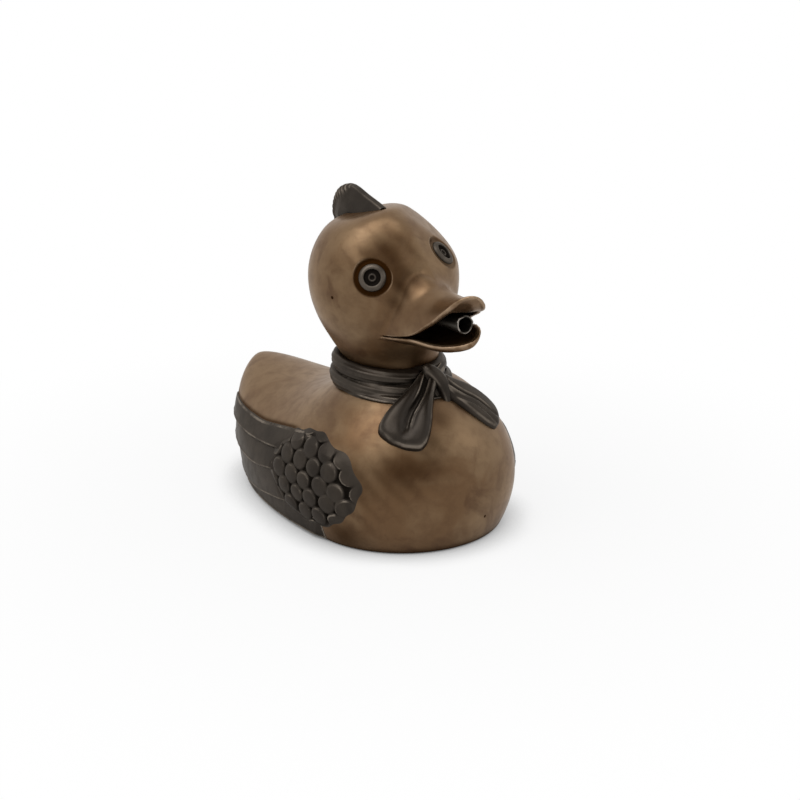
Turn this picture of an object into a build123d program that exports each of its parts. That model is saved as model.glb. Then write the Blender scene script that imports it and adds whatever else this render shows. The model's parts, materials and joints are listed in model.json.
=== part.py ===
from build123d import *
import os
from math import cos, exp, radians, sin, sqrt

# Body, in millimetres. The duck looks along -Y, its left is +X and the flat base lies on z = 0.
NECK_Y = -24.5
CHEST_RADIUS = 76.5
CHEST_Y = NECK_Y - 13.0
CHEST_Z = 32.0
CHEST_TOP_Z = 112.0
CHEST_LOW_Z = -42.0
TAIL_Y = NECK_Y + 160.5
TAIL_TIP_Z = 67.0
DECK_Z = 77.0
TAIL_LIFT = 7.0
SHOULDER_SHARE = 0.36
BODY_WALL = 4.0
CHEST_CENTRE = Vector(0, CHEST_Y, CHEST_Z)

# Head, turned and tilted a little to its right on the neck
HEAD_RADIUS = 51.5
HEAD_WALL = 4.0
HEAD_CENTRE = (-6.0, NECK_Y, 174.5)
HEAD_PITCH = 2.0
HEAD_ROLL = 5.0
HEAD_YAW = 8.0
HEAD = Plane(Location(HEAD_CENTRE, (-HEAD_PITCH, -HEAD_ROLL, -HEAD_YAW)))
NECK_RADIUS = 33.0
NECK_TOP = -60.0
SPIGOT_END = -90.0
SOCKET_WALL = 5.0

# Bills, as stations in front of the head's middle
BILL_WALL = 3.0
LOWER_BILL_WALL = 2.5
UPPER_BILL = (
    # forward, half width, rim height, ridge height
    (30, 27, -31, 8),
    (50, 24.5, -28, 7),
    (66, 21.5, -23, 3.5),
    (80, 19, -16, 1),
    (93, 16.5, -8, 1.5),
    (103, 13.5, -1.5, 4),
    (109, 9.5, 3, 6.5),
    (112, 5, 5.5, 8),
)
LOWER_BILL = (
    # forward, half width, rim height, depth
    (34, 26.5, -31, 7),
    (52, 23.5, -29, 8.5),
    (70, 19.5, -27, 9),
    (88, 15.5, -26.5, 8),
    (99, 11, -26.3, 6),
    (107, 5, -26, 3),
)

# Eyes and crest
EYE_RADIUS = 9.6
EYE_GROOVE_RADIUS = 13.2
EYE_GROOVE_DEPTH = 1.6
EYE_SEAT_DEPTH = 2.6
IRIS_RADIUS = 4.8
PUPIL_RADIUS = 1.6
RIGHT_EYE_AT = (-31.4, -38.8, 12.7)
LEFT_EYE_AT = (26.8, -39.5, 19.2)
CREST_THICK = 14.0
CREST_EDGE = 4.0

# Neckerchief
SCARF_RADIUS = 40.5
SCARF_LOW_Z = 92.0
SCARF_TOP_Z = 120.0
SCARF_TILT = 4.5
SCARF_FOLDS = 3
FOLD_DEPTH = 5.5
KNOT_RADIUS = 7.8
KNOT_OFFSET = 3.0
KNOT_HALF_LENGTH = 14.5
SCARF_TAIL_THICK = 4.0

# Wings, placed in the side view by their distance behind the neck and their height
PAD_MIDDLE = (-4.0, 41.5)
PAD_HALF_LENGTH = 46.0
PAD_HALF_HEIGHT = 36.5
PAD_THICK = 1.4
SCALE_RADIUS = 7.2
SCALE_STAND = 2.3
SCALE_PITCH = 12.6
FEATHER_THICK = 2.4
FEATHER_GAP = 1.2
FEATHER_ROOT = 25.0
FEATHERS = (
    # tip behind the neck, low and high edge at the root, low and high edge at the tip
    (132, 51, 68, 47, 60),
    (128, 35, 51, 29, 47),
    (119, 15, 35, 9, 29),
    (103, 3, 15, 1.5, 9),
)

# Base and plumbing
PLATE_THICK = 5.0
FLOOR_THICK = 2 * PLATE_THICK
PLATE_MIDDLE_Y = 6.0
OPENING_HALF_WIDTH = 50.0
OPENING_HALF_LENGTH = 90.0
PLATE_LAP = 10.0
SCREW_RADIUS = 2.0
SCREW_HEAD_RADIUS = 4.0
SCREW_CLEARANCE = 0.25
SCREW_SINK = 0.3
TUBE_RADIUS = 6.0
TUBE_BORE = 5.0
TUBE_BEND = 22.0
SPOUT_END = (0, -97.0, -14.4)
SPOUT_CORNER = (0, -6.0, -16.0)
TUBE_JOINT_Z = 70.0
COUPLING_WALL = 2.0
COUPLING_LENGTH = 24.0
INLET_THREAD_RADIUS = 7.475
INLET_RADIUS = 10.5
INLET_FLANGE_RADIUS = 16.0
INLET_FLANGE_THICK = 1.5
GASKET_THICK = 1.0
INLET_HEIGHT = 26.0
TUBE_POCKET = 8.0
LOCKNUT_ACROSS_FLATS = 28.0
LOCKNUT_THICK = 6.0
BRACKET_THICK = 3.0
BRACKET_HEIGHT = -82.0

FAR = 400.0


def superellipse(share, power):
    return max(0.0, 1.0 - abs(share) ** power) ** (1.0 / power)


def body_section(y, growth):
    """Half width, height of the widest line, and reach above and below it, where the body is cut across at y."""
    if y < CHEST_Y:
        share = (y - CHEST_Y) / (CHEST_RADIUS + growth)
        middle = CHEST_Z
        width = (CHEST_RADIUS + growth) * superellipse(share, 2)
        above = (CHEST_TOP_Z - CHEST_Z + growth) * superellipse(share, 2)
        below = (CHEST_Z - CHEST_LOW_Z + growth) * superellipse(share, 2)
    else:
        share = (y - CHEST_Y) / (TAIL_Y - CHEST_Y + growth)
        middle = CHEST_Z + (TAIL_TIP_Z - CHEST_Z) * share**4
        width = (CHEST_RADIUS + growth) * superellipse(share, 1.92)
        shoulder = (CHEST_TOP_Z - DECK_Z) * exp(-((share / SHOULDER_SHARE) ** 2))
        back = DECK_Z + TAIL_LIFT * share**2 + shoulder + growth
        top = TAIL_TIP_Z + (back - TAIL_TIP_Z) * superellipse(share, 8)
        bottom = TAIL_TIP_Z - (TAIL_TIP_Z - CHEST_LOW_Z + growth) * superellipse(share, 3.4)
        above = top - middle
        below = middle - bottom
    return width, middle, above, below


def body_form(growth):
    """The smooth body, larger by growth all round, before its underside is cut flat."""
    sections = []
    for angle in (10, 26, 46, 68, 90, 97, 105, 115, 127, 141, 155, 167):
        share = -cos(radians(angle))
        reach = CHEST_RADIUS if share < 0 else TAIL_Y - CHEST_Y
        y = CHEST_Y + (reach + growth) * share
        width, middle, above, below = body_section(y, growth)
        with BuildSketch(Plane((0, y, 0), x_dir=(1, 0, 0), z_dir=(0, -1, 0))) as section:
            with BuildLine():
                EllipticalCenterArc((0, middle), width, above, 0, arc_size=180)
                EllipticalCenterArc((0, middle), width, below, 180, arc_size=180)
            make_face()
        sections.append(section.sketch.face())
    nose = Vertex(0, CHEST_Y - CHEST_RADIUS - growth, CHEST_Z)
    tail = Vertex(0, TAIL_Y + growth, TAIL_TIP_Z)
    with BuildPart() as form:
        loft(sections=[nose, *sections, tail])
    return form.part


def above_floor(form, floor):
    with BuildPart() as kept:
        add(form)
        with Locations((0, 0, floor - FAR / 2)):
            Box(FAR, FAR, FAR, mode=Mode.SUBTRACT)
    return kept.part


def across_head(forward):
    """A plane across the head, this far in front of its middle, with its sketch's y upward."""
    return Plane(HEAD.from_local_coords((0, -forward, 0)), x_dir=HEAD.x_dir, z_dir=-HEAD.y_dir)


def head_level(height):
    """A plane level with the head, this far above its middle."""
    return Plane(HEAD.from_local_coords((0, 0, height)), x_dir=HEAD.x_dir, z_dir=HEAD.z_dir)


def head_form(inset, end):
    """The egg of the head with the neck under it, smaller by inset all round."""
    with BuildPart() as form:
        with BuildSketch(across_head(0)):
            with BuildLine():
                crown = CenterArc((0, 0), HEAD_RADIUS - inset, 0, 90)
                jaw = Spline(
                    crown @ 0,
                    (0.87 * HEAD_RADIUS - inset, 0.45 * NECK_TOP),
                    (0.78 * HEAD_RADIUS - inset, 0.66 * NECK_TOP),
                    (NECK_RADIUS - inset, NECK_TOP),
                    tangents=[(0, -1), (0, -1)],
                )
                Polyline(jaw @ 1, (NECK_RADIUS - inset, end), (0, end), crown @ 1)
            make_face()
        revolve(axis=Axis(HEAD.origin, HEAD.z_dir))
    return form.part


def bill_form(stations, inset, overrun, side):
    """A half-round bill lofted through its stations. Its arch stands up for side 1 and hangs down for side -1."""
    sections = []
    for forward, half_width, rim, height in stations:
        rise = height - rim if side > 0 else height
        with BuildSketch(across_head(forward - inset)) as section:
            with BuildLine():
                arch = EllipticalCenterArc(
                    (0, rim - side * overrun),
                    half_width - inset,
                    rise + overrun - inset,
                    0 if side > 0 else 180,
                    arc_size=180,
                )
                Line(arch @ 1, arch @ 0)
            make_face()
        sections.append(section.sketch.face())
    with BuildPart() as form:
        loft(sections=sections)
    return form.part


def eye_plane(at):
    """A plane on the head's surface at an eye, facing straight out."""
    outward = HEAD.from_local_coords(at) - HEAD.origin
    return Plane(HEAD.origin + outward.normalized() * HEAD_RADIUS, z_dir=outward)


def eye(at):
    """A ringed disc: a raised rim, a sunk iris and a small raised pupil."""
    face = eye_plane(at)
    with BuildPart() as disc:
        with BuildSketch(Plane(face.origin, x_dir=face.x_dir, z_dir=-face.y_dir)):
            with BuildLine():
                Polyline(
                    (0, -EYE_SEAT_DEPTH),
                    (EYE_RADIUS, -EYE_SEAT_DEPTH),
                    (EYE_RADIUS, 0.2),
                    (EYE_RADIUS - 1.4, 1.2),
                    (IRIS_RADIUS + 0.8, 1.4),
                    (IRIS_RADIUS, 0),
                    (PUPIL_RADIUS, 0),
                    (PUPIL_RADIUS, 1),
                    (0, 1.2),
                    close=True,
                )
            make_face()
        revolve(axis=Axis(face.origin, face.z_dir))
    return disc.part


# The right flank's side view: its x runs forward from the neck and its y runs up
RIGHT_FLANK = Plane((0, NECK_Y, 0), x_dir=(0, -1, 0), z_dir=(-1, 0, 0))


def seated(blank, on_left, carriers):
    """The blank, or its mirror image on the left side, cut back to the surfaces it lies on."""
    with BuildPart() as piece:
        if on_left:
            mirror(blank, about=Plane.YZ)
        else:
            add(blank)
        for carrier in carriers:
            add(carrier, mode=Mode.SUBTRACT)
    return piece.part


body_outer = body_form(0)
head_outer = head_form(0, SPIGOT_END)
os.makedirs("parts", exist_ok=True)

# Body casting: hollow, with a ledge round the opening in its floor and a socket for the neck
screw_ring_width = OPENING_HALF_WIDTH + PLATE_LAP / 2
screw_ring_length = OPENING_HALF_LENGTH + PLATE_LAP / 2
screw_places = [
    (sign_x * screw_ring_width * sqrt(0.5), PLATE_MIDDLE_Y + sign_y * screw_ring_length * sqrt(0.5), 0)
    for sign_x in (-1, 1)
    for sign_y in (-1, 1)
]

with BuildPart() as neck_socket:
    with BuildSketch(head_level(SPIGOT_END - SOCKET_WALL)):
        Circle(NECK_RADIUS + SOCKET_WALL)
    extrude(amount=FAR / 4)
    add(body_outer, mode=Mode.INTERSECT)

with BuildPart() as body_casting:
    add(above_floor(body_outer, 0))
    add(above_floor(body_form(-BODY_WALL), FLOOR_THICK), mode=Mode.SUBTRACT)
    add(neck_socket.part)
    with BuildSketch(head_level(SPIGOT_END)):
        Circle(NECK_RADIUS)
    extrude(amount=FAR / 4, mode=Mode.SUBTRACT)
    with BuildSketch(head_level(SPIGOT_END)):
        Circle(NECK_RADIUS - HEAD_WALL)
    extrude(amount=-2 * SOCKET_WALL, mode=Mode.SUBTRACT)
    with BuildSketch(Plane((0, PLATE_MIDDLE_Y, 0))):
        Ellipse(OPENING_HALF_WIDTH, OPENING_HALF_LENGTH)
    extrude(amount=FLOOR_THICK, mode=Mode.SUBTRACT)
    with BuildSketch(Plane((0, PLATE_MIDDLE_Y, 0))):
        Ellipse(OPENING_HALF_WIDTH + PLATE_LAP, OPENING_HALF_LENGTH + PLATE_LAP)
    extrude(amount=PLATE_THICK, mode=Mode.SUBTRACT)
    with Locations(*screw_places):
        Cylinder(SCREW_RADIUS, FLOOR_THICK, align=(Align.CENTER, Align.CENTER, Align.MIN), mode=Mode.SUBTRACT)
body_casting.part.label = "body_casting"
export_step(body_casting.part, "parts/body_casting.step")

# Base plate, let into the floor, with a counterbore underneath for the inlet's flange
inlet_at = (0, NECK_Y)
flange_room = INLET_FLANGE_THICK + GASKET_THICK
with BuildPart() as base_plate:
    with BuildSketch(Plane((0, PLATE_MIDDLE_Y, 0))):
        Ellipse(OPENING_HALF_WIDTH + PLATE_LAP, OPENING_HALF_LENGTH + PLATE_LAP)
    extrude(amount=PLATE_THICK)
    with BuildSketch():
        with Locations(inlet_at):
            Circle(INLET_RADIUS)
    extrude(amount=PLATE_THICK, mode=Mode.SUBTRACT)
    with BuildSketch():
        with Locations(inlet_at):
            Circle(INLET_FLANGE_RADIUS)
    extrude(amount=flange_room, mode=Mode.SUBTRACT)
    with Locations(*screw_places):
        Cylinder(
            SCREW_RADIUS + SCREW_CLEARANCE,
            PLATE_THICK,
            align=(Align.CENTER, Align.CENTER, Align.MIN),
            mode=Mode.SUBTRACT,
        )
        Cone(
            SCREW_HEAD_RADIUS + SCREW_SINK,
            SCREW_RADIUS,
            SCREW_HEAD_RADIUS + SCREW_SINK - SCREW_RADIUS,
            align=(Align.CENTER, Align.CENTER, Align.MIN),
            mode=Mode.SUBTRACT,
        )
base_plate.part.label = "base_plate"
export_step(base_plate.part, "parts/base_plate.step")

# Countersunk screws, from below through the plate into the ledge
for number, place in enumerate(screw_places, start=1):
    with BuildPart(Plane(place)) as base_screw:
        with BuildSketch(Plane(place, x_dir=(1, 0, 0), z_dir=(0, -1, 0))):
            with BuildLine():
                Polyline(
                    (0, SCREW_SINK),
                    (SCREW_HEAD_RADIUS, SCREW_SINK),
                    (SCREW_RADIUS, SCREW_SINK + SCREW_HEAD_RADIUS - SCREW_RADIUS),
                    (SCREW_RADIUS, FLOOR_THICK),
                    (0, FLOOR_THICK),
                    close=True,
                )
            make_face()
        revolve(axis=Axis(place, (0, 0, 1)))
        with BuildSketch(Plane(place)):
            RegularPolygon(SCREW_RADIUS * 0.7, 6)
        extrude(amount=SCREW_RADIUS, mode=Mode.SUBTRACT)
    base_screw.part.label = f"base_screw_{number}"
    export_step(base_screw.part, f"parts/base_screw_{number}.step")

# Hose inlet: a flanged socket with a female thread below and a pocket for the riser above
pocket_floor = INLET_HEIGHT - TUBE_POCKET
thread_end = pocket_floor - TUBE_RADIUS
with BuildPart() as inlet_socket:
    with BuildSketch(Plane((0, NECK_Y, 0), x_dir=(1, 0, 0), z_dir=(0, -1, 0))):
        with BuildLine():
            Polyline(
                (INLET_THREAD_RADIUS, 0),
                (INLET_FLANGE_RADIUS, 0),
                (INLET_FLANGE_RADIUS, INLET_FLANGE_THICK),
                (INLET_RADIUS, INLET_FLANGE_THICK),
                (INLET_RADIUS, INLET_HEIGHT),
                (TUBE_RADIUS, INLET_HEIGHT),
                (TUBE_RADIUS, pocket_floor),
                (TUBE_BORE, pocket_floor),
                (TUBE_BORE, thread_end),
                (INLET_THREAD_RADIUS, thread_end),
                close=True,
            )
        make_face()
    revolve(axis=Axis((0, NECK_Y, 0), (0, 0, 1)))
inlet_socket.part.label = "inlet_socket"
export_step(inlet_socket.part, "parts/inlet_socket.step")

with BuildPart() as inlet_gasket:
    with BuildSketch(Plane((0, NECK_Y, INLET_FLANGE_THICK))):
        Circle(INLET_FLANGE_RADIUS)
        Circle(INLET_RADIUS, mode=Mode.SUBTRACT)
    extrude(amount=GASKET_THICK)
inlet_gasket.part.label = "inlet_gasket"
export_step(inlet_gasket.part, "parts/inlet_gasket.step")

with BuildPart() as inlet_locknut:
    with BuildSketch(Plane((0, NECK_Y, PLATE_THICK))):
        RegularPolygon(LOCKNUT_ACROSS_FLATS / 2, 6, major_radius=False)
        Circle(INLET_RADIUS, mode=Mode.SUBTRACT)
    extrude(amount=LOCKNUT_THICK)
inlet_locknut.part.label = "inlet_locknut"
export_step(inlet_locknut.part, "parts/inlet_locknut.step")

# Water tube: a straight riser, a sleeve coupling, and a bent spout that runs out between the bills
with BuildPart() as riser_tube:
    with BuildSketch(Plane((0, NECK_Y, pocket_floor))):
        Circle(TUBE_RADIUS)
        Circle(TUBE_BORE, mode=Mode.SUBTRACT)
    extrude(amount=TUBE_JOINT_Z - pocket_floor)
riser_tube.part.label = "riser_tube"
export_step(riser_tube.part, "parts/riser_tube.step")

with BuildPart() as tube_coupling:
    with BuildSketch(Plane((0, NECK_Y, TUBE_JOINT_Z - COUPLING_LENGTH / 2))):
        Circle(TUBE_RADIUS + COUPLING_WALL)
        Circle(TUBE_RADIUS, mode=Mode.SUBTRACT)
    extrude(amount=COUPLING_LENGTH)
tube_coupling.part.label = "tube_coupling"
export_step(tube_coupling.part, "parts/tube_coupling.step")

spout_mouth = HEAD.from_local_coords(SPOUT_END)
spout_corner = HEAD.from_local_coords(SPOUT_CORNER)
with BuildLine() as spout_path:
    FilletPolyline(
        (0, NECK_Y, TUBE_JOINT_Z),
        (0, NECK_Y, TUBE_JOINT_Z + COUPLING_LENGTH),
        spout_corner,
        spout_mouth,
        radius=TUBE_BEND,
    )


def tube_along_spout(radius):
    with BuildPart() as tube:
        with BuildSketch(Plane((0, NECK_Y, TUBE_JOINT_Z))):
            Circle(radius)
        sweep(path=spout_path.wires()[0])
    return tube.part


spout_outer = tube_along_spout(TUBE_RADIUS)
with BuildPart() as spout_tube:
    add(spout_outer)
    add(tube_along_spout(TUBE_BORE), mode=Mode.SUBTRACT)
spout_tube.part.label = "spout_tube"
export_step(spout_tube.part, "parts/spout_tube.step")

# Throat bracket: a pierced disc in the neck that carries the spout tube
with BuildPart() as throat_bracket:
    with BuildSketch(head_level(BRACKET_HEIGHT)):
        Circle(NECK_RADIUS - HEAD_WALL)
        with PolarLocations(0.66 * NECK_RADIUS, 3, start_angle=90):
            Circle(0.2 * NECK_RADIUS, mode=Mode.SUBTRACT)
    extrude(amount=BRACKET_THICK)
    add(spout_outer, mode=Mode.SUBTRACT)
throat_bracket.part.label = "throat_bracket"
export_step(throat_bracket.part, "parts/throat_bracket.step")

# Head casting with the upper bill, open at the mouth and down the neck
upper_bill_outer = bill_form(UPPER_BILL, 0, 0, 1)
with BuildPart() as head_casting:
    add(head_outer)
    add(upper_bill_outer)
    add(head_form(HEAD_WALL, SPIGOT_END - HEAD_WALL), mode=Mode.SUBTRACT)
    add(bill_form(UPPER_BILL, BILL_WALL, 2, 1), mode=Mode.SUBTRACT)
    for at in (RIGHT_EYE_AT, LEFT_EYE_AT):
        with BuildSketch(eye_plane(at).offset(2 * EYE_SEAT_DEPTH)):
            Circle(EYE_RADIUS)
        extrude(amount=-3 * EYE_SEAT_DEPTH, mode=Mode.SUBTRACT)
        with BuildSketch(eye_plane(at).offset(2 * EYE_SEAT_DEPTH)):
            Circle(EYE_GROOVE_RADIUS)
        extrude(amount=-2 * EYE_SEAT_DEPTH - EYE_GROOVE_DEPTH, mode=Mode.SUBTRACT)
head_casting.part.label = "head_casting"
export_step(head_casting.part, "parts/head_casting.step")

with BuildPart() as lower_bill:
    add(bill_form(LOWER_BILL, 0, 0, -1))
    add(bill_form(LOWER_BILL, LOWER_BILL_WALL, 2, -1), mode=Mode.SUBTRACT)
    add(head_outer, mode=Mode.SUBTRACT)
    add(upper_bill_outer, mode=Mode.SUBTRACT)
lower_bill.part.label = "lower_bill"
export_step(lower_bill.part, "parts/lower_bill.step")

right_eye = eye(RIGHT_EYE_AT)
right_eye.label = "right_eye"
export_step(right_eye, "parts/right_eye.step")

left_eye = eye(LEFT_EYE_AT)
left_eye.label = "left_eye"
export_step(left_eye, "parts/left_eye.step")

# Crest: a thick fin along the top and back of the head
with BuildPart() as crest:
    with BuildSketch(Plane(HEAD.origin, x_dir=HEAD.y_dir, z_dir=HEAD.x_dir)):
        with BuildLine():
            ridge = Spline((-4, 49), (10, 53.5), (27, 59.5), (41, 55), (49, 46), (52, 36), (46, 24))
            Polyline(ridge @ 1, (20, 20), ridge @ 0)
        make_face()
    extrude(amount=CREST_THICK / 2, both=True)
    fillet(crest.edges().filter_by(GeomType.BSPLINE), CREST_EDGE)
    add(head_outer, mode=Mode.SUBTRACT)
crest.part.label = "crest"
export_step(crest.part, "parts/crest.step")

# Neckerchief band: rolled folds round the foot of the neck, seated on the body and the neck
scarf_height = SCARF_TOP_Z - SCARF_LOW_Z
fold_height = scarf_height / SCARF_FOLDS
scarf_axis = Plane(Location((0, NECK_Y, SCARF_LOW_Z + scarf_height / 2), (SCARF_TILT, 0, 0)))
with BuildPart() as scarf_blank:
    with BuildSketch(Plane(scarf_axis.origin, x_dir=scarf_axis.x_dir, z_dir=-scarf_axis.y_dir)):
        with Locations(((SCARF_RADIUS - fold_height / 2) / 2, 0)):
            Rectangle(SCARF_RADIUS - fold_height / 2, scarf_height - fold_height / 2)
        with GridLocations(0, fold_height, 1, SCARF_FOLDS):
            with Locations((SCARF_RADIUS - FOLD_DEPTH, 0)):
                Ellipse(FOLD_DEPTH, 0.55 * fold_height)
    revolve(axis=Axis(scarf_axis.origin, scarf_axis.z_dir))

with BuildPart() as scarf_band:
    add(scarf_blank.part)
    add(head_outer, mode=Mode.SUBTRACT)
    add(body_outer, mode=Mode.SUBTRACT)
scarf_band.part.label = "scarf_band"
export_step(scarf_band.part, "parts/scarf_band.step")

# Knot: an upright oval in front of the band
knot_plane = Plane(Location((KNOT_OFFSET, NECK_Y - SCARF_RADIUS - 0.7 * KNOT_RADIUS, 106.5), (-20, 0, 0)))
with BuildPart() as knot_blank:
    with BuildSketch(Plane(knot_plane.origin, x_dir=knot_plane.x_dir, z_dir=-knot_plane.y_dir)):
        with BuildLine():
            EllipticalCenterArc((0, 0), KNOT_RADIUS, KNOT_HALF_LENGTH, -90, arc_size=180)
            Line((0, KNOT_HALF_LENGTH), (0, -KNOT_HALF_LENGTH))
        make_face()
    revolve(axis=Axis(knot_plane.origin, knot_plane.z_dir))

with BuildPart() as scarf_knot:
    add(knot_blank.part)
    add(scarf_blank.part, mode=Mode.SUBTRACT)
    add(body_outer, mode=Mode.SUBTRACT)
scarf_knot.part.label = "scarf_knot"
export_step(scarf_knot.part, "parts/scarf_knot.step")

# Neckerchief tails: bell-shaped flaps that lie on the chest, the left one a mirror image
tail_root = Vector(-3, NECK_Y - 47, 104)
tail_end = Vector(-40, NECK_Y - 62, 74.5)
tail_middle = (tail_root + tail_end) * 0.5
tail_reach = (tail_end - tail_root).length / 2
with BuildPart() as tail_blank:
    with Locations(CHEST_CENTRE):
        Sphere(CHEST_TOP_Z - CHEST_Z + SCARF_TAIL_THICK - 2)
    with BuildSketch(Plane(tail_middle, x_dir=tail_end - tail_root, z_dir=tail_middle - CHEST_CENTRE)):
        with BuildLine():
            edge = Spline(
                (-tail_reach, 6),
                (-0.2 * tail_reach, 11),
                (0.55 * tail_reach, 17.5),
                (tail_reach, 10),
                (1.12 * tail_reach, 0),
                tangents=[(1, 0.1), (0, -1)],
            )
            mirror(edge, about=Plane.XZ)
            Line((-tail_reach, 6), (-tail_reach, -6))
        make_face()
    extrude(amount=CHEST_RADIUS / 2, both=True, mode=Mode.INTERSECT)

for name, on_left in (("scarf_tail_right", False), ("scarf_tail_left", True)):
    scarf_tail = seated(tail_blank.part, on_left, [body_outer, scarf_blank.part, knot_blank.part])
    scarf_tail.label = name
    export_step(scarf_tail, f"parts/{name}.step")

# Wing coverts: a round pad on each flank, covered with rows of domed scales
scale_places = []
for row in range(-4, 5):
    for column in range(-4, 5):
        behind = PAD_MIDDLE[0] + SCALE_PITCH * (column + 0.5 * (row % 2))
        height = PAD_MIDDLE[1] + SCALE_PITCH * sqrt(0.75) * row
        along = (behind - PAD_MIDDLE[0]) / (PAD_HALF_LENGTH - SCALE_RADIUS)
        up = (height - PAD_MIDDLE[1]) / (PAD_HALF_HEIGHT - SCALE_RADIUS)
        if along**2 + up**2 < 1:
            width, middle, above, below = body_section(NECK_Y + behind, PAD_THICK)
            reach = above if height > middle else below
            side = width * superellipse((height - middle) / reach, 2)
            outward = Vector(-side / width**2, 0, (height - middle) / reach**2).normalized()
            surface = Vector(-side, NECK_Y + behind, height)
            scale_places.append(surface - outward * (SCALE_RADIUS - SCALE_STAND))

with BuildPart() as coverts_blank:
    add(body_form(PAD_THICK))
    with BuildSketch(RIGHT_FLANK):
        with Locations((-PAD_MIDDLE[0], PAD_MIDDLE[1])):
            Ellipse(PAD_HALF_LENGTH, PAD_HALF_HEIGHT)
    extrude(amount=FAR / 4, mode=Mode.INTERSECT)
    with Locations(*scale_places):
        Sphere(SCALE_RADIUS)

for name, on_left in (("right_wing_coverts", False), ("left_wing_coverts", True)):
    coverts = seated(coverts_blank.part, on_left, [body_outer])
    coverts.label = name
    export_step(coverts, f"parts/{name}.step")

# Flight feathers: long flat blades from the pad back towards the tail, joined at their roots
root_end = PAD_MIDDLE[0] + PAD_HALF_LENGTH + FEATHER_ROOT / 5
with BuildPart() as feathers_blank:
    add(body_form(FEATHER_THICK))
    with BuildSketch(RIGHT_FLANK):
        for tip, low_root, high_root, low_tip, high_tip in FEATHERS:
            with BuildSketch(mode=Mode.PRIVATE) as blade:
                with BuildLine():
                    Polyline(
                        (-FEATHER_ROOT, low_root + FEATHER_GAP / 2),
                        (-FEATHER_ROOT, high_root - FEATHER_GAP / 2),
                        (-tip, high_tip - FEATHER_GAP / 2),
                        (-tip, low_tip + FEATHER_GAP / 2),
                        close=True,
                    )
                make_face()
                fillet(blade.vertices().sort_by(Axis.X)[:2], (high_tip - low_tip) / 3)
            add(blade.sketch)
        with BuildLine():
            Polyline(
                (-FEATHER_ROOT, FEATHERS[-1][1]),
                (-FEATHER_ROOT, FEATHERS[0][2] - FEATHER_GAP),
                (-root_end, FEATHERS[0][2] - 2 * FEATHER_GAP),
                (-root_end, FEATHERS[-1][1]),
                close=True,
            )
        make_face()
        with Locations((-PAD_MIDDLE[0], PAD_MIDDLE[1])):
            Ellipse(PAD_HALF_LENGTH, PAD_HALF_HEIGHT, mode=Mode.SUBTRACT)
    extrude(amount=FAR / 4, mode=Mode.INTERSECT)

for name, on_left in (("right_wing_feathers", False), ("left_wing_feathers", True)):
    feathers = seated(feathers_blank.part, on_left, [body_outer])
    feathers.label = name
    export_step(feathers, f"parts/{name}.step")
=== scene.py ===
import json
from math import cos, pi, radians, sin

import bpy
import numpy as np
from mathutils import Matrix, Vector


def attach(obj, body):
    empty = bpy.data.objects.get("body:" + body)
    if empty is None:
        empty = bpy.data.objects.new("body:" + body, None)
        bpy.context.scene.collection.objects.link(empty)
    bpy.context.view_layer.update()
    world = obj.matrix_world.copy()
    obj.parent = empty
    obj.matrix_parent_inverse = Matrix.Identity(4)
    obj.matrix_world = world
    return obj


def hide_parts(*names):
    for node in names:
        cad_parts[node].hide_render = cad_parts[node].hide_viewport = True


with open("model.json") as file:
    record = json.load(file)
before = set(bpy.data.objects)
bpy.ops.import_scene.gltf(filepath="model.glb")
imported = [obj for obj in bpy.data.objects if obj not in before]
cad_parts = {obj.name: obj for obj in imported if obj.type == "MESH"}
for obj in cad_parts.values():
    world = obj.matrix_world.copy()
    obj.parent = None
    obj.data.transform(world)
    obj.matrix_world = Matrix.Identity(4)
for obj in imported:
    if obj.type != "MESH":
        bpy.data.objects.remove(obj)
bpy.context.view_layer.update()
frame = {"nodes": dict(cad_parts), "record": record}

MM = 0.001
SEED = 7

# Body, in mm: the CAD's main sizes, with its own tail lift, blunt end and fuller breast
NECK_Y = -24.5
CHEST_RADIUS = 76.5
CHEST_Y = NECK_Y - 13
CHEST_Z = 32.0
CHEST_TOP_Z = 112.0
CHEST_LOW_Z = -42.0
TAIL_Y = NECK_Y + 160.5
TAIL_CUT = 0.7  # the blunt end lies this far inside the CAD's
TAIL_END_Y = TAIL_Y - TAIL_CUT
TAIL_TIP_Z = 67.0
DECK_Z = 77.0
TAIL_LIFT = 9.5
SHOULDER_SHARE = 0.36
WIDTH_POWER = 1.92  # powers of the superellipses by which the trunk closes toward the tail
TOP_POWER = 8
BOTTOM_POWER = 3.4
MIDDLE_POWER = 4  # how late the trunk's middle rises to the tail's tip
TRUNK_SHARE = 0.9997  # of the way to the tail's tip, where the trunk still has some width
BASE_ROUND = 2.0
FULL_AT = (58.0, -87.0, 46.0)  # the breast is fuller on the duck's left
FULL_REACH = 36.0
FULL_SHARE = 0.04

# Head, in its own axes: x to the duck's left, -y forward, z up
HEAD_CENTRE = (-6.0, NECK_Y, 174.5)
HEAD_PITCH = 2.0
HEAD_ROLL = 5.0
HEAD_YAW = 8.0
HEAD_RADIUS = 51.5
NECK_RADIUS = 33.0
NECK_TOP = -60.0
NECK_END = -84.0
UPPER_BILL = [  # forward, half width, rim on the right, rim on the left, ridge
    (20, 28, -31, -31, 6),
    (30, 27, -30, -30, 8),
    (50, 24.5, -27.6, -27.6, 6.8),
    (66, 21.8, -24, -24, 3),
    (80, 19.5, -17.4, -16.8, 1.2),
    (86, 18.2, -13.6, -14.3, 1.4),
    (93, 16.5, -8.3, -11, 2.2),
    (99, 14.8, -3.7, -8.6, 3.6),
    (104, 12.4, 1.0, -5.5, 5.3),
    (108, 9.2, 4.8, -1.5, 6.8),
    (110.6, 5.5, 6.8, 2.8, 7.4),
    (111.8, 2.4, 7.3, 5.4, 7.5),
    (112.1, 0.8, 7.4, 6.4, 7.5),
]
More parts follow.
